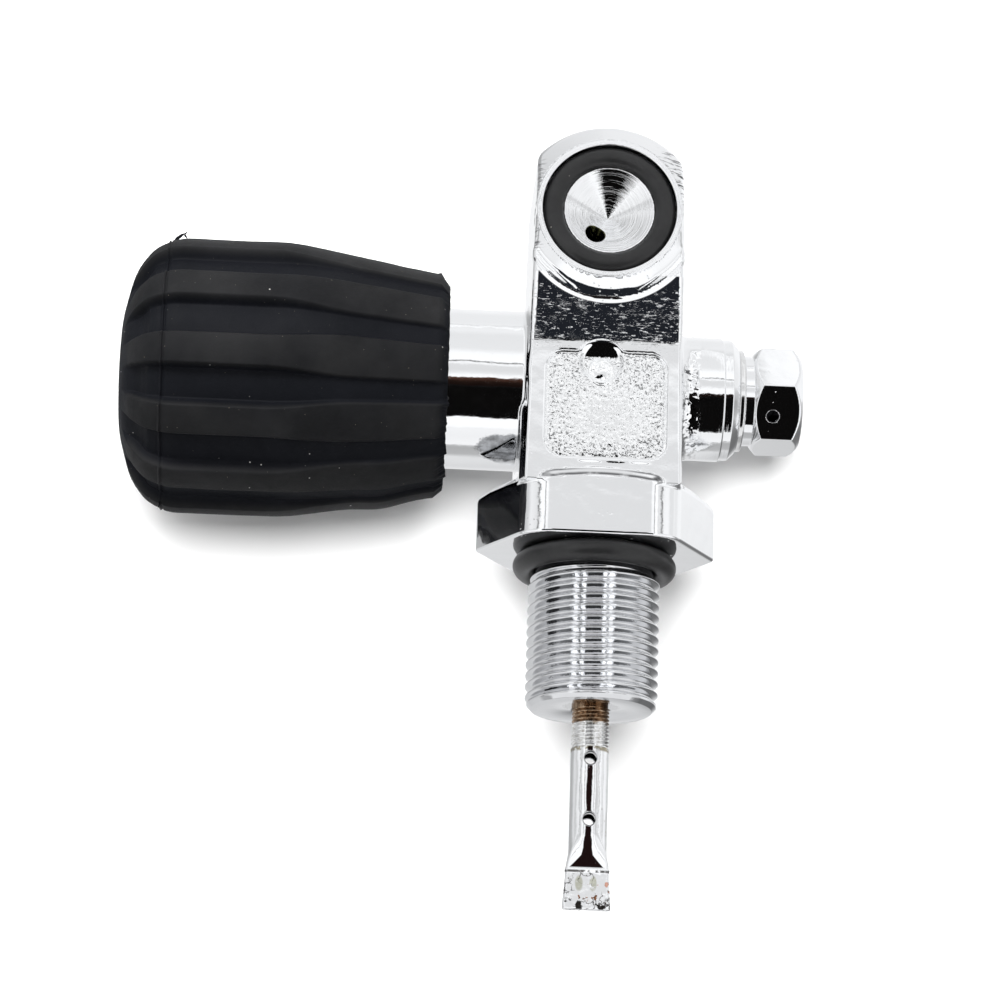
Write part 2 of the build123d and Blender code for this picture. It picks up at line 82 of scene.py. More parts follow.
# height within one pitch, crest at 0.5; closer together round the crest
NECK_PHASES = (0, 0.05, 0.10, 0.15, 0.20, 0.26, 0.32, 0.37, 0.41, 0.44, 0.47, 0.50,
               0.53, 0.56, 0.59, 0.63, 0.68, 0.74, 0.80, 0.85, 0.90, 0.95)

# burst plug
PLUG_HALF, PLUG_LEFT, PLUG_RIGHT = 6.5, 20.8, 27.35  # hexagon: half across flats, ends along X

# dip tube
TUBE_R, TUBE_BORE, TUBE_BOTTOM, TUBE_TOP = 2.55, 1.6, -47.9, -26.4
TUBE_THREAD_BOTTOM, TUBE_THREAD_TOP = -26.75, -14.2


# ---------------------------------------------------------------------------
# distance functions, negative inside
# ---------------------------------------------------------------------------
def union(first, second, radius):
    """Union of two shapes, the inner corner filled with a radius."""
    u, v = np.maximum(radius - first, 0), np.maximum(radius - second, 0)
    return np.maximum(radius, np.minimum(first, second)) - np.sqrt(u * u + v * v)


def cut(first, second, radius):
    """Intersection of two shapes, the edge rounded with a radius."""
    u, v = np.maximum(radius + first, 0), np.maximum(radius + second, 0)
    return np.minimum(-radius, np.maximum(first, second)) + np.sqrt(u * u + v * v)


def within(*bounds):
    """Sharp-edged intersection of any number of shapes."""
    return reduce(np.maximum, bounds)


def drill(shape, *bounds):
    """The shape less the part within all bounds, edges left sharp."""
    return np.maximum(shape, -within(*bounds))


def rounded_rect(u, v, half_u, half_v, radius):
    a, b = np.abs(u) - half_u + radius, np.abs(v) - half_v + radius
    outside = np.hypot(np.maximum(a, 0), np.maximum(b, 0))
    return outside + np.minimum(np.maximum(a, b), 0) - radius


def smooth(start, end, value):
    """Smooth step from 0 at start to 1 at end; start may lie above end."""
    t = np.clip((value - start) / (end - start), 0, 1)
    return t * t * (3 - 2 * t)


_rng = np.random.default_rng(1807)
_order = _rng.permutation(256)
_order = np.concatenate([_order, _order, _order])
_grads = _rng.normal(size=(256, 3))
_grads /= np.linalg.norm(_grads, axis=1)[:, None]


def noise3(x, y, z):
    """Gradient noise, about -0.7 to 0.7, with a period of 256 cells."""
    coords = np.broadcast_arrays(np.asarray(x, float), y, z)
    floors = [np.floor(c) for c in coords]
    fx, fy, fz = (c - f for c, f in zip(coords, floors))
    xi, yi, zi = (f.astype(int) & 255 for f in floors)
    fades = [f * f * f * (f * (f * 6 - 15) + 10) for f in (fx, fy, fz)]
    out = np.zeros(fx.shape)
    for dx, dy, dz in product((0, 1), repeat=3):
        wx, wy, wz = (s if d else 1 - s for s, d in zip(fades, (dx, dy, dz)))
        g = _grads[_order[_order[_order[xi + dx] + yi + dy] + zi + dz]]
        dot = g[..., 0] * (fx - dx) + g[..., 1] * (fy - dy) + g[..., 2] * (fz - dz)
        out += wx * wy * wz * dot
    return out * 1.6


# ---------------------------------------------------------------------------
# meshing of a distance function: surface nets, then the points are moved onto the surface
# ---------------------------------------------------------------------------
def nets(shape, lo, hi, cell):
    """Surface-nets vertices and quads of shape < 0 in the box from lo to hi."""
    count = [int(math.ceil((b - a) / cell)) + 1 for a, b in zip(lo, hi)]
    ax = [lo[i] + cell * np.arange(count[i]) for i in range(3)]
    field = np.empty(count, np.float32)
    slab = 24  # layers worked out at a time, to save memory
    for i in range(0, count[0], slab):
        xs = ax[0][i:i + slab]
        field[i:i + slab] = shape(xs[:, None, None], ax[1][None, :, None], ax[2][None, None, :])
    field[field == 0] = 1e-6
    inside = field < 0
    corners = list(product((0, 1), repeat=3))
    total = np.zeros([c - 1 for c in count], np.uint8)
    for dx, dy, dz in corners:
        total += inside[dx:count[0] - 1 + dx, dy:count[1] - 1 + dy, dz:count[2] - 1 + dz]
    active = (total > 0) & (total < 8)
    cells = np.argwhere(active)
    index = np.full(active.shape, -1, np.int64)
    index[active] = np.arange(len(cells))
    at_corner = {c: field[tuple((cells + c).T)].astype(float) for c in corners}

    # each vertex is the mean of its cell's edge crossings
    crossings = np.zeros((len(cells), 3))
    hits = np.zeros(len(cells))
    for axis in range(3):
        others = [i for i in range(3) if i != axis]
        for p, q in product((0, 1), repeat=2):
            a = [0, 0, 0]
            a[others[0]], a[others[1]] = p, q
            b = list(a)
            b[axis] = 1
            fa, fb = at_corner[tuple(a)], at_corner[tuple(b)]
            crossed = (fa < 0) != (fb < 0)
            pos = np.tile(np.array(a, float), (crossed.sum(), 1))
            pos[:, axis] = fa[crossed] / (fa[crossed] - fb[crossed])
            crossings[crossed] += pos
            hits[crossed] += 1
    verts = np.array(lo) + cell * (cells + crossings / hits[:, None])

    # each crossed grid edge gives a quad through the four cells round it
    faces = []
    for axis in range(3):
        o1, o2 = (axis + 1) % 3, (axis + 2) % 3
        near, far = np.delete(inside, -1, axis), np.delete(inside, 0, axis)
        edge = np.argwhere(near != far)
        keep = (edge[:, o1] > 0) & (edge[:, o1] < count[o1] - 1)
        keep &= (edge[:, o2] > 0) & (edge[:, o2] < count[o2] - 1)
        edge = edge[keep]
        quad = []
        for d1, d2 in ((1, 1), (0, 1), (0, 0), (1, 0)):
            k = edge.copy()
            k[:, o1] -= d1
            k[:, o2] -= d2
            quad.append(index[tuple(k.T)])
        quad = np.stack(quad, 1)
        flip = ~near[tuple(edge.T)]
        quad[flip] = quad[flip][:, ::-1]
        faces.append(quad)
    return verts, np.concatenate(faces)


def gradient(shape, verts, reach):
    """Central-difference gradient of shape at the points."""
    out = np.empty_like(verts)
    for i in range(3):
        a, b = verts.copy(), verts.copy()
        a[:, i] += reach
        b[:, i] -= reach
        out[:, i] = shape(*a.T) - shape(*b.T)
    return out / (2 * reach)


def quad_edges(quads):
    return np.concatenate([quads[:, [i, (i + 1) % 4]] for i in range(4)])


def unit_rows(vectors):
    return vectors / (np.linalg.norm(vectors, axis=1)[:, None] + 1e-9)


def solid(name, shape, lo, hi, cell, detail=None, reach=0.04):
    """A closed mesh of shape < 0. detail is added once the mesh exists, so it may be finer."""
    cell = cell * COARSE
    verts, quads = nets(shape, lo, hi, cell)

    def fine(x, y, z):
        return shape(x, y, z) if detail is None else shape(x, y, z) + detail(x, y, z)

    # a little smoothing along the surface evens out the quads before they settle
    start, end = quad_edges(quads).T
    total = len(verts)
    links = np.bincount(start, minlength=total) + np.bincount(end, minlength=total)
    for _ in range(2):
        acc = np.zeros_like(verts)
        for k in range(3):
            acc[:, k] = (np.bincount(start, weights=verts[end, k], minlength=total)
                         + np.bincount(end, weights=verts[start, k], minlength=total))
        normal = unit_rows(gradient(shape, verts, 0.25 * cell))
        move = acc / np.maximum(links, 1)[:, None] - verts
        move -= (move * normal).sum(1)[:, None] * normal
        verts = verts + 0.5 * move

    # settle on the surface, never far from the evened place
    evened = verts.copy()
    limit = 0.6 * cell
    for _ in range(3):
        grad = gradient(fine, verts, reach)
        step = fine(*verts.T) / np.maximum((grad * grad).sum(1), 0.2)
        verts = verts - grad * step[:, None]
        move = verts - evened
        far = np.linalg.norm(move, axis=1)
        held = evened + move * (limit / np.maximum(far, 1e-9))[:, None]
        verts = np.where((far > limit)[:, None], held, verts)
    normals = unit_rows(gradient(fine, verts, reach))
    return mesh_object(name, verts, quads, "valve", normals)


# ---------------------------------------------------------------------------
# mesh helpers
# ---------------------------------------------------------------------------
def new_object(name, data):
    ob = bpy.data.objects.new(name, data)
    bpy.context.scene.collection.objects.link(ob)
    return ob


def mesh_object(name, verts, faces, body, normals=None):
    """A smooth mesh from points in millimetres; faces is an index array or a list of tuples."""
    me = bpy.data.meshes.new(name)
    verts = np.asarray(verts, float) * MM
    if isinstance(faces, np.ndarray):
        me.vertices.add(len(verts))
        me.vertices.foreach_set("co", verts.astype(np.float32).ravel())
        me.loops.add(faces.size)
        me.loops.foreach_set("vertex_index", faces.astype(np.int32).ravel())
        me.polygons.add(len(faces))
        starts = np.arange(0, faces.size, faces.shape[1], dtype=np.int32)
        me.polygons.foreach_set("loop_start", starts)
        me.update(calc_edges=True)
    else:
        me.from_pydata(verts.tolist(), [], faces)
    me.validate()
    me.shade_smooth()
    if normals is not None:
        me.normals_split_custom_set_from_vertices([tuple(x) for x in normals])
    ob = new_object(name, me)
    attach(ob, body)
    return ob


def tidy(ob, dist=0.0008, sharp=None):
    """Merges close points, turns the faces outwards and marks edges sharper than an angle."""
    bm = bmesh.new()
    bm.from_mesh(ob.data)
    bmesh.ops.remove_doubles(bm, verts=bm.verts, dist=dist * MM)
    bmesh.ops.dissolve_degenerate(bm, edges=bm.edges, dist=1e-4 * MM)
    loose = [vert for vert in bm.verts if not vert.link_faces]
    bmesh.ops.delete(bm, geom=loose, context="VERTS")
    bmesh.ops.recalc_face_normals(bm, faces=bm.faces)
    bm.to_mesh(ob.data)
    bm.free()
    ob.data.shade_smooth()
    if sharp is not None:
        ob.data.set_sharp_from_angle(angle=math.radians(sharp))


def point_attribute(ob, name, values):
    attribute = ob.data.attributes.new(name, "FLOAT", "POINT")
    attribute.data.foreach_set("value", values.astype(np.float32))


def fillet(points, radii):
    """The closed polyline with its corners rounded, one radius for each corner."""
    segments = 5
    pts = [np.array(p, float) for p in points]
    out = []
    for i, (p, radius) in enumerate(zip(pts, radii)):
        if radius <= 0:
            out.append(p)
            continue
        a, b = pts[i - 1] - p, pts[(i + 1) % len(pts)] - p
        len_a, len_b = np.linalg.norm(a), np.linalg.norm(b)
        a, b = a / len_a, b / len_b
        half = math.acos(np.clip(a @ b, -1, 1)) / 2
        reach = min(radius / math.tan(half), 0.48 * len_a, 0.48 * len_b)
        fitted = reach * math.tan(half)
        centre = p + (a + b) / np.linalg.norm(a + b) * (fitted / math.sin(half))
        start, end = p + a * reach - centre, p + b * reach - centre
        turn = math.acos(np.clip((start @ end) / (fitted * fitted), -1, 1))
        for k in range(segments + 1):
            u = k / segments
            mixed = math.sin((1 - u) * turn) * start + math.sin(u * turn) * end
            out.append(centre + mixed / math.sin(turn))
    return np.array(out)


def ring_quads(rows, columns, closed=True):
    """Quads between rings of points; closed joins the last ring to the first."""
    i, j = np.meshgrid(np.arange(rows if closed else rows - 1), np.arange(columns), indexing="ij")
    i2, j2 = (i + 1) % rows, (j + 1) % columns
    quads = [i * columns + j, i * columns + j2, i2 * columns + j2, i2 * columns + j]
    return np.stack(quads, -1).reshape(-1, 4)


def lathe(name, profile, axis, centre, columns, sharp=28):
    """Turns a closed profile of (along, radius) points round an axis through centre."""
    profile = np.asarray(profile, float)
    angle = np.linspace(0, 2 * np.pi, columns, endpoint=False)
    along = profile[:, :1] + 0 * angle
    across, up = profile[:, 1:] * np.cos(angle), profile[:, 1:] * np.sin(angle)
    shift = "xyz".index(axis)
    points = np.stack(np.roll([along, across, up], shift, axis=0), -1) + np.array(centre)
    ob = mesh_object(name, points.reshape(-1, 3), ring_quads(len(profile), columns), "valve")
    tidy(ob, sharp=sharp)
    return ob


def torus(name, ring_r, radial_half, axial_half, axis, centre):
    t = np.linspace(0, 2 * np.pi, 44, endpoint=False)
    profile = np.stack([axial_half * np.sin(t), ring_r + radial_half * np.cos(t)], 1)
    return lathe(name, profile, axis, centre, columns=288, sharp=None)


def threaded_sleeve(name, bottom, top, pitch, phases, columns, radius_at, closing, sharp):
    """A helical thread about Z. Its rows climb one pitch in a turn and are clipped at both ends.

    radius_at takes the height and the place within the pitch, 0 to 1. closing lists the
    (radius, height) rings of the ends and bore; a radius of None takes the thread's own edge.
    """
    turns = int((top - bottom) / pitch) + 3
    rows = np.array([bottom + pitch * (k + p) for k in range(-2, turns) for p in phases])
    count, per_turn = len(rows), len(phases)
    angle = np.linspace(0, 2 * np.pi, columns, endpoint=False)
    height = rows[:, None] + pitch * angle[None, :] / (2 * np.pi)
    height = np.clip(height, bottom, top)
    phase = ((height - bottom) / pitch - angle[None, :] / (2 * np.pi)) % 1.0
    radius = radius_at(height, phase)
    cos, sin = np.cos(angle), np.sin(angle)
    points = [np.stack([radius * cos, radius * sin, height], -1).reshape(-1, 3)]
    i, j = np.meshgrid(np.arange(count - 1), np.arange(columns - 1), indexing="ij")
    corner = i * columns + j
    quads = [corner, corner + 1, corner + columns + 1, corner + columns]
    faces = [np.stack(quads, -1).reshape(-1, 4)]
    # the seam: the end of a row meets the start of the row one pitch higher
    i = np.arange(count - 1 - per_turn)
    last, first = i * columns + columns - 1, (i + per_turn) * columns
    faces.append(np.stack([last, first, first + columns, last + columns], -1))
    own_edge = {bottom: radius[0], top: radius[-1]}
    for ring_r, z in closing:
        if ring_r is None:
            ring_r = own_edge[z]
        points.append(np.stack([ring_r * cos, ring_r * sin, 0 * angle + z], -1))
    closing_quads = ring_quads(len(closing), columns, closed=False)[:, [0, 3, 2, 1]]
    faces.append(count * columns + closing_quads)
    ob = mesh_object(name, np.concatenate(points), np.concatenate(faces), "valve")
    tidy(ob, dist=0.002, sharp=sharp)
    return ob


# ---------------------------------------------------------------------------
# valve body
# ---------------------------------------------------------------------------
def panel_outline(x, z):
    """Outline of the cast panel with the round lobe that crosses its top edge."""
    field = rounded_rect(x - PANEL_X, z - PANEL_Z, PANEL_HALF_X, PANEL_HALF_Z, PANEL_CORNER)
    return union(field, np.hypot(x - LOBE_X, z - LOBE_Z) - LOBE_R, 0.7)


def gas_passage(x, y, z, radius, start, end):
    dx, dy, dz = x - GAS_AT[0], y - GAS_AT[1], z - GAS_AT[2]
    along = dx * GAS_DIR[0] + dy * GAS_DIR[1] + dz * GAS_DIR[2]
    off2 = np.maximum(dx * dx + dy * dy + dz * dz - along * along, 0)
    return within(np.sqrt(off2) - radius, start - along, along - end)


def head_and_column(x, y, z, outlet_r):
    chamfer = (outlet_r - 9.75) * 0.6405 - (y - FACE_Y) * 0.768
    head = cut(outlet_r - HEAD_R, chamfer, 0.9)
    # the front leans forward above z 26.6 to meet the head's rim
    rise = z - 26.6
    swell = np.minimum(0.235 * 0.5 * (rise + np.sqrt(rise * rise + 0.9)), 2.1)
    front = ((FRONT_Y - swell) - y) * 0.99
    out = union(head, within(front, z - OUTLET_Z, COLUMN_FOOT_Z - z), 0.30)
    core = within(np.abs(x) - 9.0, np.abs(y) - 9.0, 1.0 - z, z - 20.0)
    out = np.minimum(out, core)
    lean = 0.014 * (30 - z)
    sides = within(-10.05 - lean - x, x - 10.3 - lean)
    return cut(cut(out, sides, 0.55), y - BACK_Y, 0.9)


def flange(x, y, z, axis_r):
    """Hexagonal flange above the neck, its top turned to a cone."""
    across = np.abs(x)
    hexagon = cut(across * COS30 + y * SIN30 - HEX_HALF, across * COS30 - y * SIN30 - HEX_HALF, 0.5)
    out = cut(hexagon, np.abs(y) - 11.9, 2.6)
    out = cut(out, (axis_r - 16.17) * 0.2924 + (z - 7.5) * 0.9563, 0.85)
    return cut(out, -z, 0.35)


def forging(x, y, z):
    outlet_r = np.hypot(x, z - OUTLET_Z)
    cross_r = np.hypot(y, z - CROSS_Z)
    axis_r = np.hypot(x, y)
    out = head_and_column(x, y, z, outlet_r)
    arm = cut(cut(cross_r - ARM_R, ARM_END_X - x, 0.5), x - 2.0, 0.1)
    out = union(out, arm, 0.8)
    block = cut(cut(-10.95 - x, np.abs(y) - 11.1, 0.9), z - 19.5, 2.8)
    out = union(out, within(block, x + 2.0, COLUMN_FOOT_Z - z), 0.35)
    stub = cut(cross_r - STUB_R, x - STUB_END_X, 0.15)
    out = union(out, within(stub, 2.0 - x), 1.5)
    out = union(out, flange(x, y, z, axis_r), 0.35)
    # panel recess in the front
    recess = within(cut(panel_outline(x, z), y - (FRONT_Y + 1.3), 0.1), -13.0 - y)
    out = cut(out, -recess, 0.22)
    # socket that holds the outlet's turned insert
    out = cut(out, -within(outlet_r - 9.7, y + 9.6), 0.02)
    # seat of the yoke screw in the back
    dimple = (outlet_r - 4.6 + (BACK_Y - y) * 1.353) / 1.682
    out = cut(out, -dimple, 0.18)
    # left arm: wide bore, then a chamber round a conical nozzle with a fine hole
    out = drill(out, cross_r - 8.02, x + 16.8)
    nozzle = within(cross_r - (2.5 + 0.5 * (x + 6.0)), -6.0 - x)
    out = drill(out, cross_r - 6.02, x + 5.0, -nozzle)
    out = drill(out, cross_r - 1.75, np.abs(x + 3.5) - 3.6)
    # upright bore, then the right arm's narrow and wide bores
    out = drill(out, axis_r - 2.0, z - 24.4)
    out = drill(out, cross_r - 1.5, np.abs(x - 6) - 6)
    out = drill(out, cross_r - 4.97, 9.5 - x)
    return drill(out, gas_passage(x, y, z, radius=1.4, start=4.2, end=20.2))


def forging_detail(x, y, z):
    """Waviness of the polished forging, dents of the cast surfaces left unpolished."""
    out = 0.016 * noise3(x * 0.22, y * 0.22, z * 0.22)
    out = out + 0.006 * noise3(x * 0.6 + 31, y * 0.6, z * 0.6)
    # rough cast ring at the root of the right arm
    cross_r = np.hypot(y, z - CROSS_Z)
    ring = smooth(10.4, 10.9, x) * (1 - smooth(12.9, 13.3, x)) * smooth(9.9, 9.2, cross_r)
    ring = ring * (z > 12) * smooth(27.5, 25.0, z)
    out = out + ring * 0.07 * noise3(x * 1.6 + 5, y * 1.6, z * 1.6)
    # dragged polishing marks where the column swells to meet the head
    outlet_r = np.hypot(x, z - OUTLET_Z)
    band = smooth(12.9, 13.6, outlet_r) * smooth(25.0, 27.5, z) * (y < -11.0) * (z < 37)
    drag = noise3(x * 0.35 + 9, y * 0.4, z * 1.9 + 0.05 * x)
    drag = drag + 0.6 * noise3(x * 0.9, y, z * 3.1 + 7)
    out = out + band * 0.007 * drag
    # turned bead near the rim of the head's chamfer, strongest low down
    low = smooth(46.0, 37.0, z) * (y < FRONT_Y) * (np.abs(outlet_r - 11.6) < 1.6)
    out = out - low * 0.20 * smooth(11.05, 12.0, outlet_r) * smooth(12.45, 12.05, outlet_r)
    # fine raised seam across the lower front
    seam = np.exp(-((z - 9.9 - 0.04 * np.sin(x * 0.9)) / 0.10) ** 2)
    seam = seam * smooth(-5.5, -2.0, x) * smooth(7.0, 5.0, x) * (y < -11.0)
    return out - 0.028 * seam


def build_body():
    ob = solid("body_forging", forging, (-27.6, -15.6, -0.6), (16.8, 12.3, 58.0), 0.28,
               forging_detail, reach=0.05)
    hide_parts("valve_body")
    return ob


# --- cast panel ------------------------------------------------------------
def panel_surface(x, z, outline):
    """Y of the panel's front, and how rough the casting is at each point."""
    boss_r = np.hypot(x + 0.35, z - 22.6)
    lobe_r = np.hypot(x - LOBE_X, z - LOBE_Z)
    # the lobe slopes in from its upper edge, with a low pitted dome standing in it
    scoop = 0.66 * smooth(27.2, 24.3, z) * smooth(3.1, 2.4, lobe_r)
    depth = 0.30 * smooth(26.9, 24.8, z) + scoop
    dome = 0.52 * np.sqrt(np.clip(1 - (boss_r / 1.95) ** 2, 0, 1)) ** 0.8
    pits = np.clip(noise3(x * 1.15 + 7, z * 1.15, 2.2), -1, 0.1)
    dome = dome + 0.16 * pits * smooth(1.9, 1.2, boss_r)
    rough = 0.050 * noise3(x * 1.9, z * 1.9, 3.7) + 0.062 * noise3(x * 3.0, z * 3.0, 9.2)
    # smooth in the middle, rougher outwards and low down
    middle = smooth(2.0, 6.5, np.hypot((x - 0.6) * 0.9, z - 15.6))
    share = np.clip(0.25 + 0.55 * middle + 0.45 * smooth(14.5, 11.5, z), 0, 1.15)
    share = share * smooth(1.7, 2.2, boss_r) * smooth(-0.02, -0.45, outline)
    share = share * (1 - smooth(24.2, 24.9, z) * smooth(3.3, 2.9, lobe_r))
    y = FRONT_Y + depth - dome + rough * share
    # the surface sinks along the outline
    edge = 0.16 * smooth(-0.62, -0.12, outline) * smooth(26.0, 24.8, z)
    return y + edge * (0.3 + 0.7 * smooth(11.2, 13.0, z)), share


def build_panel():
    """A slab with a height-field front, a flat back and a skirt between them."""
    cell = 0.10 * COARSE
    x, z = np.meshgrid(np.arange(-8.9, 9.6, cell), np.arange(9.6, 28.0, cell), indexing="ij")
    outline = panel_outline(x, z)
    inside = outline < 0.42
    y, share = panel_surface(x, z, outline)
    index = np.full(x.shape, -1)
    index[inside] = np.arange(inside.sum())
    front = np.stack([x[inside], y[inside], z[inside]], 1)
    back = front.copy()
    back[:, 1] = -10.05
    total = len(front)
    whole = inside[:-1, :-1] & inside[1:, :-1] & inside[1:, 1:] & inside[:-1, 1:]
    corners = (index[:-1, :-1], index[1:, :-1], index[1:, 1:], index[:-1, 1:])
    front_quads = np.stack([c[whole] for c in corners], 1)
    back_quads = front_quads[:, ::-1] + total
    # the rim is made of the edges used once
    edges = quad_edges(front_quads)
    key = np.sort(edges, 1)
    _, first, uses = np.unique(key[:, 0] * (total + 1) + key[:, 1],
                               return_index=True, return_counts=True)
    start, end = edges[first[uses == 1]].T
    skirt = np.stack([end, start, start + total, end + total], 1)
    ob = mesh_object("body_cast_panel", np.concatenate([front, back]),
                     np.concatenate([front_quads, back_quads, skirt]), "valve")
    point_attribute(ob, "rough", np.concatenate([share[inside], share[inside] * 0]))
    tidy(ob, dist=0.0002, sharp=60)
    return ob


# --- turned outlet ---------------------------------------------------------
def outlet(x, y, z):
    rho = np.hypot(x, z - OUTLET_Z)
    out = within(cut(rho - OUTLET_R, FACE_Y - y, 0.16), y + 9.45)
    ring_groove = within(cut(6.09 - rho, rho - 9.0, 0.02), y + 12.2)
    out = cut(out, -ring_groove, 0.12)
    out = cut(out, -within(rho - 6.6, y - SEAT_Y), 0.02)
    slope = math.radians(59.4)
    cone = (rho - SEAT_R) * math.cos(slope) + (y - SEAT_Y) * math.sin(slope)
    out = cut(out, -within(cone, rho - 6.05), 0.05)
    return cut(out, -gas_passage(x, y, z, radius=1.36, start=-4, end=12), 0.06)


def outlet_detail(x, y, z):
    """Turning rings inside the outlet's cone."""
    rho = np.hypot(x, z - OUTLET_Z)
    rings = np.sin(rho * 2 * np.pi / 0.52 + 1.5 * noise3(rho * 0.8, 0.3, 0.1))
    rings = rings + 0.7 * np.sin(rho * 2 * np.pi / 0.31)
    strength = 0.5 + 0.9 * np.abs(noise3(rho * 1.1 + 4, 0.5, 0.7))
    return smooth(5.9, 5.7, rho) * 0.006 * rings * strength


def build_outlet():
    ob = solid("outlet_insert", outlet, (-10.2, -15.1, 34.3), (10.2, -9.1, 54.7), 0.115,
               outlet_detail, reach=0.02)
    return ob


# --- neck thread -----------------------------------------------------------
def soft_min(first, second, width):
    share = np.clip(0.5 + 0.5 * (second - first) / width, 0, 1)
    return second * (1 - share) + first * share - width * share * (1 - share)


def neck_radius(z, phase):
    """Thread with 60 degree flanks, rounded crest and root, run out at both ends."""
    flank = NECK_CREST + 0.16 - np.abs(phase - 0.5) * NECK_PITCH * 1.66
    radius = -soft_min(-soft_min(flank, NECK_CREST, 0.10), -NECK_ROOT, 0.12)
    # last groove runs out above the end face
    fill = smooth(-20.05, -20.45, z)
    radius = radius * (1 - fill) + 8.62 * fill
    radius = np.minimum(radius, 8.10 + (z - NECK_BOTTOM))
    # undercut under the flange
    relief = smooth(-3.55, -2.95, z)
    return radius * (1 - relief) + 7.95 * relief


def build_neck():
    end = NECK_BOTTOM - 0.03
    # end face, stepped bore, top
    closing = [(8.10, NECK_BOTTOM), (8.02, end), (2.75, end), (2.5, NECK_BOTTOM + 0.2),
               (2.5, -14.0), (2.0, -14.0), (2.0, NECK_TOP), (7.95, NECK_TOP)]
    ob = threaded_sleeve("neck_thread", NECK_BOTTOM, NECK_TOP, NECK_PITCH, NECK_PHASES,
                         240, neck_radius, closing, sharp=50)
    return ob


# --- right arm's machined end, burst plug -----------------------------------
def build_arm_end():
    # (x, radius) of the corners
    corners = [(13.2, 4.97), (13.2, 8.40), (16.45, 8.44), (16.6, 8.20), (17.72, 8.20),
               (18.66, 7.25), (18.66, 4.97)]
    profile = fillet(corners, [0, 0.1, 0.12, 0.05, 0.25, 0.2, 0.05])
    ob = lathe("arm_end", profile, "x", (0, 0, CROSS_Z), columns=220)
    return ob


def plug(x, y, z):
    w = z - CROSS_Z
    rho = np.hypot(y, w)
    flats = [np.abs(w), np.abs(y * COS30 + w * SIN30), np.abs(y * COS30 - w * SIN30)]
    # hexagon with rounded corners, coned at both ends
    out = cut(cut(flats[0] - PLUG_HALF, flats[1] - PLUG_HALF, 0.12), flats[2] - PLUG_HALF, 0.12)
    out = cut(out, (rho - 6.3) * 0.646 - (x - PLUG_LEFT) * 0.763, 0.12)
    out = cut(out, (rho - 6.05) * 0.66 + (x - PLUG_RIGHT) * 0.7513, 0.12)
    out = cut(cut(out, PLUG_LEFT - x, 0.1), x - PLUG_RIGHT, 0.15)
    collar = cut(cut(rho - 6.1, 19.52 - x, 0.1), x - 22, 0.1)
    out = union(out, collar, 0.10)
    shank = cut(cut(rho - 4.88, 10.7 - x, 0.3), x - 22, 0.1)
    out = union(out, shank, 0.05)
    out = drill(out, rho - 2.2, x - 25.3)
    # three countersunk cross holes; the two lower ones sit a little aside
    for dy, dz in ((0.0, 1.0), (-COS30, -0.5), (COS30, -0.5)):
        along = y * dy + w * dz
        side = -y * dz + w * dy - (0.55 if dy < 0 else 0.0)
        off = np.hypot(x - 23.25, side) - 0.86
        hole = within(off, off - 0.8 * (along - 6.25), -along)
        out = cut(out, -hole, 0.03)
    return out


def build_plug():
    ob = solid("burst_plug_hex", plug, (10.4, -7.9, 14.9), (27.95, 7.9, 30.9), 0.125, reach=0.02)
    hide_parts("burst_plug")
    # (x, radius) of the washer's corners
    corners = [(18.69, 5.05), (18.69, 6.9), (19.49, 6.9), (19.49, 5.05)]
    profile = fillet(corners, [0.08, 0.22, 0.22, 0.08])
    washer = lathe("burst_plug_seal_washer", profile, "x", (0, 0, CROSS_Z), columns=160)
    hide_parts("burst_plug_washer")
    return ob, washer


# --- seals -----------------------------------------------------------------
def build_rings():
    outlet_ring = torus("outlet_ring", 7.55, 1.41, 1.30, "y", (0, -13.65, OUTLET_Z))
    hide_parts("outlet_o_ring")
    neck_ring = torus("neck_ring", 9.5, 1.48, 1.48, "z", (0, 0, -1.55))
    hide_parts("neck_o_ring")
    return outlet_ring, neck_ring


# --- dip tube --------------------------------------------------------------
def tube(x, y, z):
    """Round above, pressed flat below, with two cross holes."""
    flat = smooth(-38.1, -43.3, z)
    half_x = TUBE_R + 0.35 * smooth(-40, -43, z) + 0.28 * smooth(-42.5, TUBE_BOTTOM, z)
    half_y = TUBE_R * (1 - flat) + 0.78 * flat
    half_x = np.maximum(half_x, half_y)
    stadium = np.hypot(np.maximum(np.abs(x) - (half_x - half_y), 0), y) - half_y
    slab = rounded_rect(x, y, half_x, half_y, np.minimum(half_y, 0.45))
    out = stadium * (1 - flat) + slab * flat
    out = cut(out, TUBE_BOTTOM - z, 0.12)
    out = cut(out, z - TUBE_TOP, 0.10)
    out = drill(out, np.hypot(x, y) - TUBE_BORE, -38.5 - z)
    for hole_z in (-28.06, -36.23):
        hole = np.hypot(x, z - hole_z) - 0.80 - 0.6 * np.maximum(np.abs(y) - 2.25, 0)
        out = cut(out, -hole, 0.04)
    return out * 0.9


def tube_detail(x, y, z):
    """A ledge above the pressed end, imprints on it, faint folds above."""
    low = smooth(-42.4, -43.0, z)
    ledge = 0.10 * np.exp(-((z + 42.65) / 0.20) ** 2) * (np.abs(y) < 2.2)
    imprint = 0.030 * noise3(x * 0.8, y, z * 0.8 + 3) + 0.008 * noise3(x * 2.3 + 8, y, z * 2.3)
    fold = 0.02 * noise3(x * 0.9, y * 0.9, z * 0.3) * (1 - low)
    return -ledge + low * (imprint + 0.02) + fold


def tube_thread_radius(z, phase):
    radius = 2.50 - 0.27 * smooth(0.10, 0.95, np.abs(phase - 0.5) * 2)
    run_out = smooth(-25.7, -26.5, z)
    radius = radius * (1 - run_out) + 2.40 * run_out
    radius = radius - 0.2 * smooth(TUBE_THREAD_BOTTOM + 0.25, TUBE_THREAD_BOTTOM, z)
    return radius - 0.25 * smooth(TUBE_THREAD_TOP - 0.3, TUBE_THREAD_TOP, z)


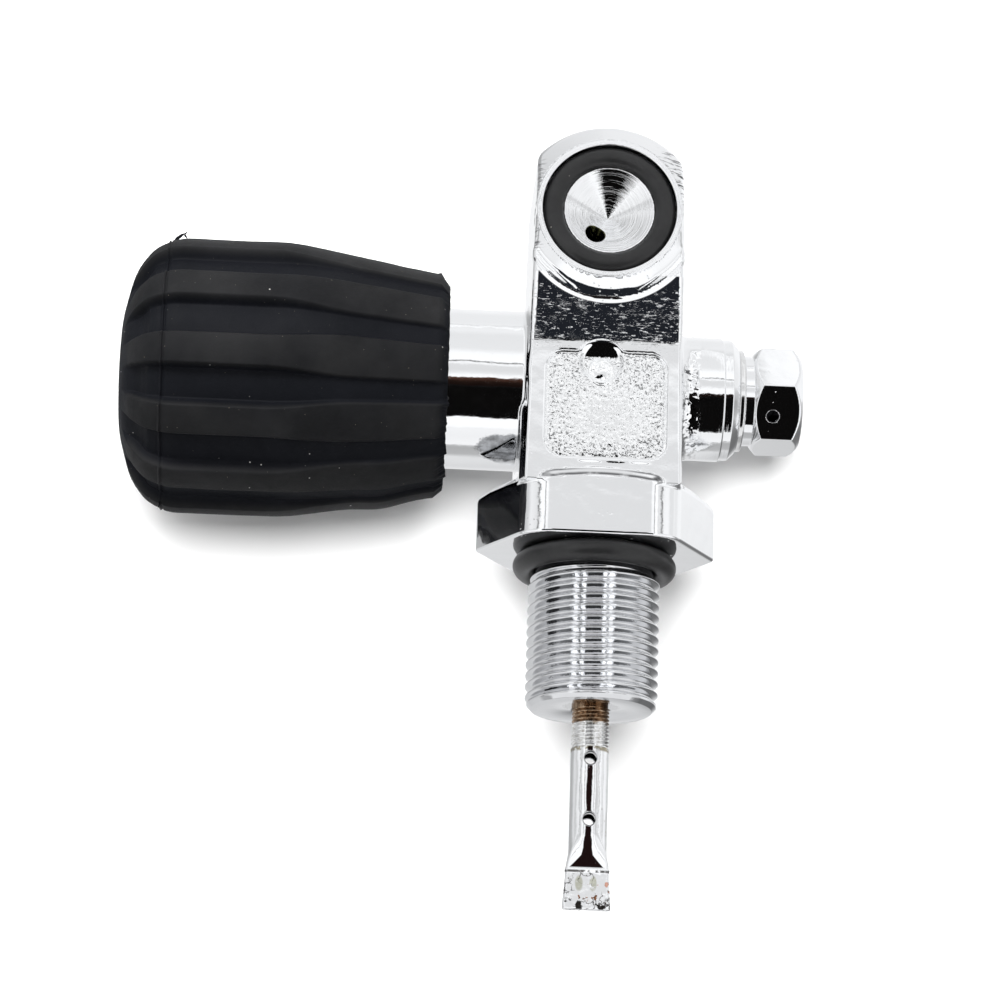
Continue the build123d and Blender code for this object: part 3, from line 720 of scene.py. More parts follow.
def build_tube():
    ob = solid("dip_tube_pressed", tube, (-3.6, -2.9, -48.2), (3.6, 2.9, -26.1), 0.12,
               tube_detail, reach=0.03)
    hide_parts("dip_tube")
    # fine thread, the top of it screwed into the neck
    closing = [(None, TUBE_THREAD_BOTTOM), (TUBE_BORE, TUBE_THREAD_BOTTOM),
               (TUBE_BORE, TUBE_THREAD_TOP), (None, TUBE_THREAD_TOP)]
    phases = np.linspace(0, 1, 8, endpoint=False)
    thread = threaded_sleeve("dip_tube_thread", TUBE_THREAD_BOTTOM, TUBE_THREAD_TOP, 0.5, phases,
                             96, tube_thread_radius, closing, sharp=60)
    return ob, thread


# ---------------------------------------------------------------------------
# rubber handwheel grip: a sleeve on the cross axis with lengthwise ribs
# ---------------------------------------------------------------------------
# measured outline (x, radius), from the open rim to the eye at the far left
GRIP_OUTLINE = np.array([
    (-20.8, 14.75), (-22.3, 15.0), (-24.3, 15.32), (-27, 15.75), (-29.7, 16.25),
    (-32.5, 16.7), (-35.2, 17.25), (-37.9, 17.75), (-40.6, 18.25), (-43, 18.5),
    (-50, 18.52), (-57, 18.5), (-58.2, 18.25), (-59.6, 17.85), (-60.9, 17.0),
    (-62.3, 15.3), (-63.2, 13.2), (-63.6, 11.7), (-64.3, 9.2), (-64.6, 8.3)])
# (x, radius) of the rounded crown that ends the outer line
GRIP_CROWN = [(-62.75, 14.55), (-63.15, 13.65), (-63.5, 12.6), (-63.8, 11.5), (-64.1, 10.4),
              (-64.35, 9.4), (-64.5, 8.7), (-64.58, 8.2)]
# (x, radius) of the inside, from the eye back to the rim
GRIP_INSIDE = [
    (-64.45, 7.75), (-64.1, 7.53), (-63.5, 7.5), (-61.0, 7.5), (-58.6, 7.5), (-58.12, 7.6),
    (-58.05, 8.2), (-58.05, 10.4), (-57.9, 10.9), (-57.4, 11.0), (-50.0, 11.0), (-40.0, 11.0),
    (-34.2, 11.0), (-33.6, 11.2), (-33.5, 11.8), (-33.35, 12.4), (-32.8, 12.6), (-28.0, 12.6),
    (-23.0, 12.6), (-21.6, 12.62), (-21.1, 12.7)]
GRIP_RIM = [(-20.86, 12.95), (-20.82, 13.4), (-20.82, 13.9)]
RIB_PITCH = 30   # degrees
FIRST_RIB = -5.5  # centre of the first rib, degrees from -Y towards +Z
PARTING_X = -58.62


def grip_outer_line():
    """The measured outline, read at stations close together at the parting ring, with its crown."""
    stations = np.concatenate([
        np.arange(-20.95, -43, -0.36), np.arange(-43, -57.6, -0.5),
        np.arange(-57.6, -59.8, -0.085), np.arange(-59.8, -62.4, -0.2)])
    known_x, known_r = GRIP_OUTLINE[::-1].T
    averaged = 0
    for dx, weight in ((-0.8, 1), (-0.4, 2), (0, 3), (0.4, 2), (0.8, 1)):
        averaged = averaged + weight * np.interp(stations + dx, known_x, known_r)
    direct = np.interp(stations, known_x, known_r)
    radii = np.where(stations > -61.5, averaged / 9, direct)
    keep = radii > 14.9
    return np.concatenate([np.stack([stations[keep], radii[keep]], 1), GRIP_CROWN])


def build_grip():
    columns = 1080
    outer = grip_outer_line()
    profile = np.concatenate([outer, GRIP_INSIDE, GRIP_RIM])
    rows = len(profile)
    x = np.repeat(profile[:, 0][:, None], columns, 1)
    radius = np.repeat(profile[:, 1][:, None], columns, 1)
    # degrees from -Y towards +Z
    turn = np.repeat(np.linspace(0, 360, columns, endpoint=False)[None, :], rows, 0)
    cos, sin = np.cos(np.radians(turn)), np.sin(np.radians(turn))
    is_outer = (np.arange(rows) < len(outer))[:, None]

    # ribs: wider and shallower towards the rim, each a little different
    off = np.abs((turn - FIRST_RIB + RIB_PITCH / 2) % RIB_PITCH - RIB_PITCH / 2)
    rib = (turn - FIRST_RIB + RIB_PITCH / 2) // RIB_PITCH
    wide = smooth(-45.0, -33.0, x)
    half = 5.7 + 2.7 * wide + 0.35 * np.sin(rib * 1.7 + 0.6)
    flank = 2.7 - 0.6 * wide
    depth = 1.6 - 0.95 * smooth(-46.0, -34.0, x)
    drop = smooth(0, 1, (off - half) / flank)
    rounding = 0.10 * (np.clip(off / half, 0, 1) ** 2) * (1 - wide * 0.5)
    fade = np.where(x > -61.0, 1.0, smooth(11.6, 14.6, radius))
    groove_cut = (depth * drop + rounding) * fade

    waves = 0.07 * noise3(x * 0.11 + 3, cos * 1.9, sin * 1.9)
    waves = waves + 0.035 * noise3(x * 0.3 + 13, cos * 5, sin * 5)
    # the crown is fuller and sits slightly askew; the underside bulges near the rim
    askew = 0.30 * np.sin(np.radians(turn - 10)) * smooth(8, 13, radius)
    radius = radius + is_outer * (0.36 * smooth(-63.5, -58.5, x) + askew)
    bulge = 0.62 * np.exp(-((x + 28.8) / 3.6) ** 2)
    radius = radius + is_outer * bulge * smooth(0.55, 0.95, -sin)
    # on the crown the grooves cut along x rather than inwards
    radius = radius - is_outer * (groove_cut * (0.35 + 0.65 * smooth(-63.0, -59.5, x)))
    x = x + is_outer * (groove_cut * 0.75 * smooth(-59.5, -62.6, x))
    radius = radius + is_outer * waves * (0.3 + 0.7 * fade)

    # mould parting ring: a fine raised line with a sharp step on its crown side
    px = x - PARTING_X + 0.10 * np.sin(np.radians(turn * 2 + 20))
    px = px + 0.03 * np.sin(np.radians(turn * 7))
    ridge = 0.20 * np.exp(-(px / 0.11) ** 2) * (0.65 + 0.5 * np.abs(noise3(turn * 0.09, 0.2, 0.6)))
    groove = -0.16 * np.exp(-((px - 0.30) / 0.13) ** 2)
    step = -0.14 * smooth(0.05, -0.25, px) * smooth(-2.6, -1.0, px)
    radius = radius + is_outer * (ridge + groove + step)

    # flash teeth on the lower part of the open rim
    signed_turn = ((turn + 180) % 360) - 180
    rim_share = np.zeros(rows)
    rim_share[:3] = (0.9, 0.35, 0.1)
    rim_share[-3:] = (0.5, 0.8, 1.0)
    teeth = np.clip(noise3(turn * 0.23, 3.1, 0.4) * 1.3 - 0.08, 0, 1)
    teeth = teeth + 0.25 * np.clip(noise3(turn * 0.7, 1.0, 7.4), 0, 1)
    toothed = smooth(-100, -85, signed_turn) * smooth(-18, -32, signed_turn)
    uneven = 0.62 * teeth * toothed + 0.08 * noise3(turn * 0.2, 0.7, 2.2)
    x = x + rim_share[:, None] * uneven
    # small burr at the top and at the bottom of the rim
    burr = 0.28 * np.exp(-((signed_turn - 79) / 1.2) ** 2)
    burr = burr + 0.45 * np.exp(-((signed_turn + 83) / 1.2) ** 2)
    burr_share = np.zeros(rows)
    burr_share[:2] = (1.0, 0.35)
    radius = radius + burr_share[:, None] * burr

    points = np.stack([x, -radius * cos, CROSS_Z + radius * sin], -1).reshape(-1, 3)
    ob = mesh_object("grip_rubber", points, ring_quads(rows, columns)[:, ::-1], "handwheel")
    # rib-top share, stored as 'worn': the rubber's material uses it to paint shade into the grooves
    # between the ribs
    point_attribute(ob, "worn", ((1 - drop) * fade * is_outer).ravel())
    bm = bmesh.new()
    bm.from_mesh(ob.data)
    bmesh.ops.recalc_face_normals(bm, faces=bm.faces)
    bm.to_mesh(ob.data)
    bm.free()
    ob.data.shade_smooth()
    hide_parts("handwheel_grip")
    return ob


def blade(name, points, width, thick):
    """A thin curved sliver along a line of points, tapering, with a lens section."""
    points = np.array(points, float)
    count, around = len(points), 8
    verts = []
    for i, p in enumerate(points):
        along = points[min(i + 1, count - 1)] - points[max(i - 1, 0)]
        along /= np.linalg.norm(along)
        side = np.cross(along, (0.15, -1.0, 0.1))
        side /= np.linalg.norm(side)
        up = np.cross(side, along)
        taper = (1 - i / (count - 1)) ** 0.8 + 0.06
        for k in range(around):
            a = 2 * math.pi * k / around
            verts.append(p + side * math.cos(a) * width * taper + up * math.sin(a) * thick * taper)
    faces = []
    for i in range(count - 1):
        for k in range(around):
            k2 = (k + 1) % around
            low, high = i * around, (i + 1) * around
            faces.append((low + k, low + k2, high + k2, high + k))
    faces.append(tuple(range(around))[::-1])
    faces.append(tuple((count - 1) * around + k for k in range(around)))
    return mesh_object(name, verts, faces, "handwheel")


def build_flash():
    """Slivers of moulding flash that stand up at the parting ring."""
    top, bottom = CROSS_Z + 18.1, CROSS_Z - 18.0
    slivers = [
        blade("grip_flash_top",
              [(-58.75, -1.2, top), (-58.6, -1.5, CROSS_Z + 18.7), (-58.2, -1.8, CROSS_Z + 19.3),
               (-57.6, -2.0, CROSS_Z + 19.75), (-57.1, -2.1, CROSS_Z + 19.95),
               (-56.9, -2.1, CROSS_Z + 20.35)], width=0.34, thick=0.10),
        blade("grip_flash_top_b",
              [(-57.25, -2.0, CROSS_Z + 19.7), (-56.95, -2.05, CROSS_Z + 19.4),
               (-56.8, -2.1, CROSS_Z + 19.0)], width=0.16, thick=0.07),
        blade("grip_flash_bottom",
              [(-58.6, -1.0, bottom), (-58.6, -1.1, CROSS_Z - 18.5),
               (-58.75, -1.1, CROSS_Z - 18.95)], width=0.16, thick=0.07)]
    return slivers


# ---------------------------------------------------------------------------
# shader node helpers
# ---------------------------------------------------------------------------
class Wire:
    """A node's output; arithmetic on it adds math nodes."""

    def __init__(self, nodes, socket):
        self.nodes = nodes
        self.socket = socket

    def __add__(self, other):
        return self.nodes.math("ADD", self, other)

    def __sub__(self, other):
        return self.nodes.math("SUBTRACT", self, other)

    def __rsub__(self, other):
        return self.nodes.math("SUBTRACT", other, self)

    def __mul__(self, other):
        return self.nodes.math("MULTIPLY", self, other)

    def __truediv__(self, other):
        return self.nodes.math("DIVIDE", self, other)


class Nodes:
    """Builds the node tree of a material or world."""

    def __init__(self, tree):
        self.tree = tree
        tree.nodes.clear()

    def feed(self, socket, value):
        """Links a wire to the socket, or sets the socket to a number, vector or colour."""
        if isinstance(value, Wire):
            self.tree.links.new(value.socket, socket)
        elif socket.type == "RGBA":
            socket.default_value = (*value, 1)
        elif hasattr(value, "__len__"):
            socket.default_value = tuple(float(c) for c in value)
        else:
            socket.default_value = value

    def add(self, kind, inputs=None, out=0, **settings):
        """A new node's output; a tuple in out gives a list of outputs."""
        node = self.tree.nodes.new(kind)
        for key, value in settings.items():
            setattr(node, key, value)
        for key, value in (inputs or {}).items():
            self.feed(node.inputs[key], value)
        if isinstance(out, tuple):
            return [Wire(self, node.outputs[key]) for key in out]
        return Wire(self, node.outputs[out])

    def close(self, kind, shader):
        self.feed(self.tree.nodes.new(kind).inputs[0], shader)

    def math(self, operation, *values):
        return self.add("ShaderNodeMath", dict(enumerate(values)), operation=operation)

    def sqrt(self, value):
        return self.math("SQRT", value)

    def abs(self, value):
        return self.math("ABSOLUTE", value)

    def hypot(self, a, b):
        return self.sqrt(a * a + b * b)

    def vector(self, operation, a, b):
        return self.add("ShaderNodeVectorMath", {0: a, 1: b}, operation=operation)

    def dot(self, a, b):
        return self.add("ShaderNodeVectorMath", {0: a, 1: b}, "Value", operation="DOT_PRODUCT")

    def split(self, vector):
        return self.add("ShaderNodeSeparateXYZ", {0: vector}, (0, 1, 2))

    def join(self, *parts):
        return self.add("ShaderNodeCombineXYZ", dict(enumerate(parts)))

    def red(self, colour):
        return self.add("ShaderNodeSeparateColor", {0: colour})

    def tinted(self, value, red, green):
        """A grey value as a colour, its red and green scaled."""
        return self.add("ShaderNodeCombineColor", {0: value * red, 1: value * green, 2: value})

    def noise(self, scale, detail=2.0, rough=0.5, at=None):
        inputs = {"Scale": scale, "Detail": detail, "Roughness": rough, "Vector": at or self.place}
        return self.add("ShaderNodeTexNoise", inputs, "Fac")

    def patches(self, start, end, low=0.0, high=1.0, **noise):
        """Noise put through a smooth step."""
        return self.step(self.noise(**noise), start, end, low, high)

    def cells(self, scale):
        """Distance and colour of a Voronoi texture."""
        inputs = {"Scale": scale, "Vector": self.place}
        return self.add("ShaderNodeTexVoronoi", inputs, ("Distance", "Color"))

    def stretched(self, scale, tilt):
        """Object coordinates scaled and tilted about Y."""
        return self.add("ShaderNodeMapping",
                        {"Vector": self.place, "Scale": scale, "Rotation": (0, tilt, 0)})

    def ramp(self, value, stops):
        """Colour ramp through (position, grey or colour) stops."""
        node = self.tree.nodes.new("ShaderNodeValToRGB")
        elements = node.color_ramp.elements
        while len(elements) > 1:
            elements.remove(elements[-1])
        for i, (position, colour) in enumerate(stops):
            element = elements[0] if i == 0 else elements.new(position)
            element.position = position
            if isinstance(colour, (int, float)):
                colour = (colour,) * 3
            element.color = (*colour, 1)
        self.feed(node.inputs[0], value)
        return Wire(self, node.outputs[0])

    def curve(self, value, points, top):
        """Piecewise-linear function through (value, result) points; results are 0 to top."""
        low, high = points[0][0], points[-1][0]
        stops = [((at - low) / (high - low), result / top) for at, result in points]
        return self.ramp((value - low) / (high - low), stops) * top

    def mix(self, share, a, b):
        """Mix of two colours."""
        return self.add("ShaderNodeMix", {0: share, 6: a, 7: b}, 2, data_type="RGBA")

    def blend(self, share, a, b):
        """Mix of two numbers."""
        return self.add("ShaderNodeMix", {0: share, 2: a, 3: b}, data_type="FLOAT")

    def mix_shader(self, share, a, b):
        return self.add("ShaderNodeMixShader", {0: share, 1: a, 2: b})

    def emission(self, colour):
        return self.add("ShaderNodeEmission", {0: colour})

    def step(self, value, start, end, low=0.0, high=1.0):
        """Smooth step from low at start to high at end."""
        return self.add("ShaderNodeMapRange", {0: value, 1: start, 2: end, 3: low, 4: high},
                        interpolation_type="SMOOTHSTEP")

    def band(self, value, start, end, soft):
        """1 between start and end, with soft edges."""
        rise = self.step(value, start - soft, start + soft)
        return rise * self.step(value, end - soft, end + soft, low=1.0, high=0.0)


class Surface(Nodes):
    """A material with one principled shader; place is the object coordinate in metres."""

    def __init__(self, name, metallic=None, colour=None, roughness=None):
        self.material = bpy.data.materials.new(name)
        self.material.use_nodes = True
        super().__init__(self.material.node_tree)
        self.shader = self.tree.nodes.new("ShaderNodeBsdfPrincipled")
        self.close("ShaderNodeOutputMaterial", Wire(self, self.shader.outputs[0]))
        self.place = self.add("ShaderNodeTexCoord", out="Object")
        given = {"Metallic": metallic, "Base Color": colour, "Roughness": roughness}
        for key, value in given.items():
            if value is not None:
                self.set(key, value)

    def set(self, key, value):
        self.feed(self.shader.inputs[key], value)

    def bumps(self, *layers):
        """Bumps laid over one another, each (height, distance in metres, strength)."""
        normal = None
        for height, distance, strength in layers:
            inputs = {"Height": height, "Distance": distance, "Strength": strength}
            if normal is not None:
                inputs["Normal"] = normal
            normal = self.add("ShaderNodeBump", inputs)
        self.set("Normal", normal)


# ---------------------------------------------------------------------------
# plated materials
# ---------------------------------------------------------------------------
PLATE = (0.93, 0.935, 0.945)


def plated(name, colour=PLATE, roughness=0.05):
    """Start of a bright nickel-chrome plate."""
    return Surface(name, metallic=1.0, colour=colour, roughness=roughness)


def plate_with_passage(s):
    """Plate colour, olive inside the gas passage."""
    rel = s.vector("SUBTRACT", s.place, GAS_AT * MM)
    along = s.dot(rel, GAS_DIR)
    radial = s.sqrt(s.math("MAXIMUM", s.dot(rel, rel) - along * along, 0.0))
    olive = s.ramp(s.noise(scale=1500, detail=3, rough=0.6), [
        (0.35, (0.030, 0.032, 0.012)), (0.62, (0.16, 0.16, 0.07)), (0.72, (0.55, 0.55, 0.45))])
    return s.mix(s.step(radial, start=0.00146, end=0.00141), PLATE, olive)


def forging_colour(s, x, y, z):
    colour = plate_with_passage(s)
    # dark hairline scratches on both shoulders of the head's chamfer
    hair = s.stretched(scale=(420, 420, 3600), tilt=0.5)
    line = s.patches(at=hair, scale=1.0, detail=3, rough=0.6, start=0.52, end=0.60)
    right = s.step(x, start=0.0052, end=0.0085) * s.band(z, start=0.0465, end=0.0535, soft=0.0014)
    left = s.step(x, start=-0.0083, end=-0.0098) * s.band(z, start=0.0385, end=0.0515, soft=0.0014)
    zone = (right * 0.95 + left * 0.75) * s.step(y, start=-0.0113, end=-0.0118)
    colour = s.mix(line * zone, colour, (0.05, 0.05, 0.055))
    # specks on the cast ring at the root of the right arm
    speck = s.patches(scale=1500, detail=3, rough=0.6, start=0.54, end=0.60)
    ring = s.band(x, start=0.0109, end=0.0128, soft=0.0003)
    ring = ring * s.step(y, start=-0.0035, end=-0.0050)
    ring = ring * s.band(z, start=0.0119, end=0.0250, soft=0.0012)
    colour = s.mix(speck * ring * 0.9, colour, (0.03, 0.03, 0.035))
    # painted reflection: a dark soft line where the flange's front flat rolls over into its turned
    # cone
    facing_up = s.split(s.add("ShaderNodeNewGeometry", out="Normal"))[2]
    roll = s.band(facing_up, start=0.10, end=0.30, soft=0.06)
    roll = roll * s.step(y, start=-0.0112, end=-0.0115)
    roll = roll * s.band(z, start=0.0048, end=0.0088, soft=0.0003)
    roll = roll * s.patches(scale=420, detail=3, rough=0.6, start=0.30, end=0.55,
                            low=0.35, high=0.85)
    colour = s.mix(roll, colour, (0.04, 0.04, 0.045))
    # painted dark reflection low on the left arm: a mottled ellipse with a ragged edge
    across, up = (x + 0.0126) / 0.0038, (z - 0.0134) / 0.00115
    ellipse = across * across + up * up
    ellipse = ellipse + (s.noise(scale=900, detail=3, rough=0.65) - 0.5) * 1.6
    painted_reflection_patch = s.step(ellipse, start=1.25, end=0.75) * s.step(y, start=0.0, end=-0.0015)
    painted_reflection_patch = painted_reflection_patch * s.step(x, start=-0.0103, end=-0.0107)
    greys = s.ramp(s.noise(scale=700, detail=3, rough=0.6),
                   [(0.35, (0.025, 0.027, 0.03)), (0.65, (0.30, 0.31, 0.33))])
    return s.mix(painted_reflection_patch * 0.80, colour, greys)


def forging_bumps(s, x, y, z):
    wave = s.noise(scale=420, detail=3, rough=0.55)
    # fine pits under the plate
    gate = s.patches(scale=260, detail=2, rough=0.6, start=0.60, end=0.70)
    gate = gate * s.step(x, start=-0.0108, end=-0.0102)
    pits = s.step(s.cells(1500)[0], start=0.05, end=0.22, low=-1.0, high=0.0) * gate
    # dragged polishing marks on the swell under the head
    drag = s.stretched(scale=(190, 190, 2300), tilt=0.10)
    streak = s.noise(at=drag, scale=1.0, detail=4, rough=0.6)
    amount = s.band(z, start=0.0258, end=0.0330, soft=0.0012)
    amount = amount * s.step(y, start=-0.0108, end=-0.0113)
    patchy = s.patches(scale=210, detail=2, rough=0.5, start=0.40, end=0.62, low=0.25, high=1.0)
    streaks = (streak - 0.5) * amount * patchy
    # flecks, thickest at the swell's sides and foot
    grain = s.stretched(scale=(900, 900, 3400), tilt=0.16)
    fleck = s.patches(at=grain, scale=1.0, detail=4, rough=0.75, start=0.60, end=0.67)
    edge = s.step(s.abs(x), start=0.0062, end=0.0092)
    foot = s.step(z, start=0.0288, end=0.0268)
    blotch = s.patches(scale=330, detail=3, rough=0.6, start=0.54, end=0.66)
    share = s.math("MINIMUM", (edge * 0.8 + foot * 0.8) + (blotch * 0.5 + 0.06), 1.0)
    s.bumps((wave, 0.00003, 0.5), (pits, 0.00009, 0.8), (streaks, 0.00005, 1.0),
            (fleck * amount * share, 0.00010, 1.0))


def forging_plate():
    s = plated("chrome_forging", colour=None)
    x, y, z = s.split(s.place)
    s.set("Base Color", forging_colour(s, x, y, z))
    forging_bumps(s, x, y, z)
    haze = s.patches(scale=900, detail=4, rough=0.6, start=0.45, end=0.7)
    s.set("Roughness", s.blend(haze, 0.045, 0.10))
    return s.material


def cast_plate():
    s = plated("chrome_cast")
    pits = s.patches(scale=1500, detail=2, rough=0.55, start=0.46, end=0.66, low=0.0, high=-1.0)
    grain = s.noise(scale=3000, detail=2, rough=0.6)
    rough = s.add("ShaderNodeAttribute", out="Fac", attribute_name="rough")
    s.bumps(((pits * 0.7 + grain * 0.5) * rough, 0.00012, 1.0))
    # dark pores, thick towards the edges and missing in the smooth middle
    pore = s.patches(scale=3300, detail=3, rough=0.65, start=0.560, end=0.61)
    amount = s.step(rough, start=0.38, end=0.95, low=0.0, high=0.85)
    s.set("Base Color", s.mix(pore * amount, (0.97, 0.975, 0.98), (0.05, 0.05, 0.055)))
    return s.material


def turned_plate():
    """Rings round the outlet's axis."""
    s = plated("chrome_turned", colour=None, roughness=0.032)
    s.set("Base Color", plate_with_passage(s))
    x, _, z = s.split(s.place)
    rho = s.join(s.hypot(x, z - OUTLET_Z * MM))
    s.bumps((s.noise(at=rho, scale=5200, detail=3, rough=0.7), 0.00005, 0.7),
            (s.noise(at=rho, scale=16000, detail=2, rough=0.6), 0.00002, 0.6))
    return s.material


def neck_plate():
    s = plated("chrome_thread", colour=(0.76, 0.765, 0.78), roughness=0.075)
    s.bumps((s.noise(scale=1100, detail=3, rough=0.6), 0.00003, 0.6))
    return s.material


def arm_plate():
    """Faint turning lines round the cross axis."""
    s = plated("chrome_arm", roughness=0.06)
    along = s.join(s.split(s.place)[0])
    s.bumps((s.noise(at=along, scale=4200, detail=3, rough=0.6), 0.00002, 0.6),
            (s.noise(scale=700, detail=3, rough=0.6), 0.00004, 0.6))
    return s.material


def plug_plate():
    """Painted shade inside the holes near the plug's axis, with small chips."""
    s = plated("chrome_plug", colour=None, roughness=0.06)
    x, y, z = s.split(s.place)
    # painted shade: the insides of the bore and of the cross holes are made near black
    inside = s.step(s.hypot(y, z - CROSS_Z * MM), start=0.0063, end=0.0061)
    inside = inside * s.band(x, start=0.0210, end=0.0271, soft=0.00005)
    s.set("Base Color", s.mix(inside, PLATE, (0.055, 0.055, 0.06)))
    chips = s.step(s.cells(1900)[0], start=0.05, end=0.25, low=-1.0, high=0.0)
    gate = s.patches(scale=500, detail=2, rough=0.5, start=0.63, end=0.70)
    s.bumps((s.noise(scale=300, detail=2, rough=0.5), 0.00002, 0.4), (chips * gate, 0.00008, 0.8))
    return s.material


def tube_plate():
    s = plated("chrome_tube")
    x, y, z = s.split(s.place)
    # plate worn through to copper-brown metal on the pressed end
    low = s.step(z, start=-0.0424, end=-0.0436)
    holes = s.patches(scale=620, detail=4, rough=0.65, start=0.60, end=0.645) * low
    flecks = s.patches(scale=1500, detail=3, rough=0.6, start=0.70, end=0.73)
    flecks = flecks * s.step(z, start=-0.0262, end=-0.027)
    worn = s.math("MAXIMUM", holes, flecks)
    ochre = s.ramp(s.noise(scale=1400, detail=3, rough=0.6), [
        (0.35, (0.020, 0.012, 0.010)), (0.55, (0.30, 0.12, 0.05)), (0.7, (0.55, 0.28, 0.14))])
    colour = s.mix(worn, PLATE, ochre)
    # two shallow lens-shaped press marks: middle and half width along X
    for middle, half in ((-0.00105, 0.00050), (0.00080, 0.00046)):
        across, up = (x - middle) / half, (z + 0.0445) / 0.00100
        mark = s.step(across * across + up * up, start=1.5, end=0.5)
        mark = mark * s.step(y, start=0.0005, end=-0.0001)
        mark = mark * s.patches(scale=1300, detail=3, rough=0.6, start=0.34, end=0.50)
        colour = s.mix(mark * 0.75, colour, (0.50, 0.50, 0.38))
    # darkened lower corners
    foot = s.step(z, start=-0.0461, end=-0.0470)
    foot = foot * s.step(s.abs(x - 0.0001), start=0.0003, end=0.0009)
    corner_darkening = s.noise(scale=800, detail=4, rough=0.65) + foot * 0.12
    corner_darkening = s.step(corner_darkening, start=0.66, end=0.69)
    colour = s.mix(corner_darkening * foot, colour, (0.02, 0.018, 0.016))
    # wandering dark creases
    wander = s.abs(s.noise(scale=560, detail=3, rough=0.6) - 0.5)
    crease = s.step(wander, start=0.022, end=0.008) * s.step(z, start=-0.0429, end=-0.0432)
    crease = crease * s.patches(scale=330, detail=2, rough=0.5, start=0.47, end=0.56)
    top = s.band(z, start=-0.04305, end=-0.04275, soft=0.00006)
    top = top * s.patches(scale=700, detail=2, rough=0.6, start=0.40, end=0.50)
    colour = s.mix(s.math("MAXIMUM", crease, top) * 0.9, colour, (0.03, 0.025, 0.022))
    # worn copper spot
    spot = s.hypot(x - 0.0025, z + 0.0446) + s.noise(scale=1500, detail=3, rough=0.6) * 0.0009
    spot = s.step(spot, start=0.00082, end=0.00072)
    colour = s.mix(spot * 0.85, colour, (0.72, 0.34, 0.22))
    # greenish-brown tarnish at the thread's edge
    ring = s.band(z, start=-0.0270, end=-0.0263, soft=0.00015)
    ring = ring * s.patches(scale=1100, detail=3, rough=0.6, start=0.40, end=0.55)
    s.set("Base Color", s.mix(ring * 0.8, colour, (0.24, 0.20, 0.10)))
    s.set("Roughness", s.blend(worn, 0.07, 0.38))
    s.bumps((s.noise(scale=900, detail=4, rough=0.6), 0.00003, 0.6), (worn * -1.0, 0.00006, 0.8))
    return s.material


# ---------------------------------------------------------------------------
# other materials
# ---------------------------------------------------------------------------
def bare_thread():
    """Brown where it leaves the neck, plated lower down."""
    s = Surface("bare_thread", metallic=1.0)
    z = s.split(s.place)[2]
    edge = z + (s.noise(scale=900, detail=4, rough=0.6) - 0.5) * 0.0012
    bare = s.step(edge, start=-0.0234, end=-0.0228)
    brown = s.ramp(s.noise(scale=1300, detail=4, rough=0.6), [
        (0.30, (0.09, 0.055, 0.032)), (0.5, (0.30, 0.20, 0.125)), (0.7, (0.62, 0.47, 0.34))])
    plate = s.ramp(s.noise(scale=1500, detail=3, rough=0.6),
                   [(0.30, (0.62, 0.61, 0.58)), (0.5, (0.90, 0.90, 0.90))])
    s.set("Base Color", s.mix(bare, plate, brown))
    s.set("Roughness", s.blend(bare, 0.10, 0.20))
    s.bumps((s.noise(scale=2400, detail=3, rough=0.6), 0.00003, 0.7))
    return s.material


def clouded(s, scale, colour, darker):
    """The colour, in places multiplied by darker."""
    dim = tuple(c * darker for c in colour)
    return s.ramp(s.noise(scale=scale, detail=4, rough=0.6), [(0.3, dim), (0.7, colour)])


def simple_metal(name, colour, roughness):
    s = Surface(name, metallic=1.0)
    s.set("Base Color", clouded(s, 360, colour, darker=0.86))
    uneven = s.noise(scale=630, detail=3, rough=0.6)
    s.set("Roughness", s.blend(uneven, roughness * 0.7, roughness * 1.4))
    s.bumps((s.noise(scale=900, detail=3, rough=0.6), 0.00003, 0.7))
    return s.material


def plastic(name, colour, roughness):
    s = Surface(name, roughness=roughness)
    s.set("Base Color", clouded(s, 500, colour, darker=0.9))
    s.bumps((s.noise(scale=2200, detail=3, rough=0.6), 0.00002, 0.6))
    return s.material


def grip_material():
    s = Surface("grip_rubber_mat")
    # painted shade: the 'worn' attribute is the share of rib top; the grooves between the ribs get
    # a darker copy of the rubber and the rib tops a lighter one
    worn = s.add("ShaderNodeAttribute", out="Fac", attribute_name="worn")
    cloud = s.noise(scale=90, detail=4, rough=0.6)
    groove_shade_colour = s.ramp(cloud, [(0.35, (0.0050, 0.0058, 0.0082)), (0.65, (0.0080, 0.0088, 0.0120))])
    top = s.ramp(cloud, [(0.35, (0.0130, 0.0132, 0.0140)), (0.65, (0.0235, 0.0236, 0.0245))])
    patchy = s.blend(s.patches(scale=60, detail=3, rough=0.6, start=0.3, end=0.7), 0.6, 1.0)
    colour = s.mix(s.step(worn, start=0.25, end=0.95) * patchy, groove_shade_colour, top)
    # pale dust caught on the surface: sparse large specks over many fine ones
    distance, tag = s.cells(520)
    dust = s.step(distance, start=0.075, end=0.035)
    dust = dust * s.patches(scale=95, detail=2, rough=0.5, start=0.44, end=0.53)
    dust = dust * s.step(s.red(tag), start=0.55, end=0.62)
    distance, tag = s.cells(1500)
    fine = s.step(distance, start=0.10, end=0.04) * s.step(s.red(tag), start=0.80, end=0.84)
    fine = fine * s.step(worn, start=0.3, end=0.9, low=0.35, high=0.85)
    colour = s.mix(fine, colour, (0.22, 0.20, 0.16))
    s.set("Base Color", s.mix(dust, colour, (0.62, 0.62, 0.60)))
    s.set("Roughness", s.blend(s.noise(scale=240, detail=4, rough=0.6), 0.52, 0.72))
    s.set("Specular IOR Level", 0.10)
    s.bumps((s.noise(scale=3200, detail=3, rough=0.65), 0.00004, 0.7),
            (s.noise(scale=300, detail=4, rough=0.6), 0.00010, 0.5))
    return s.material


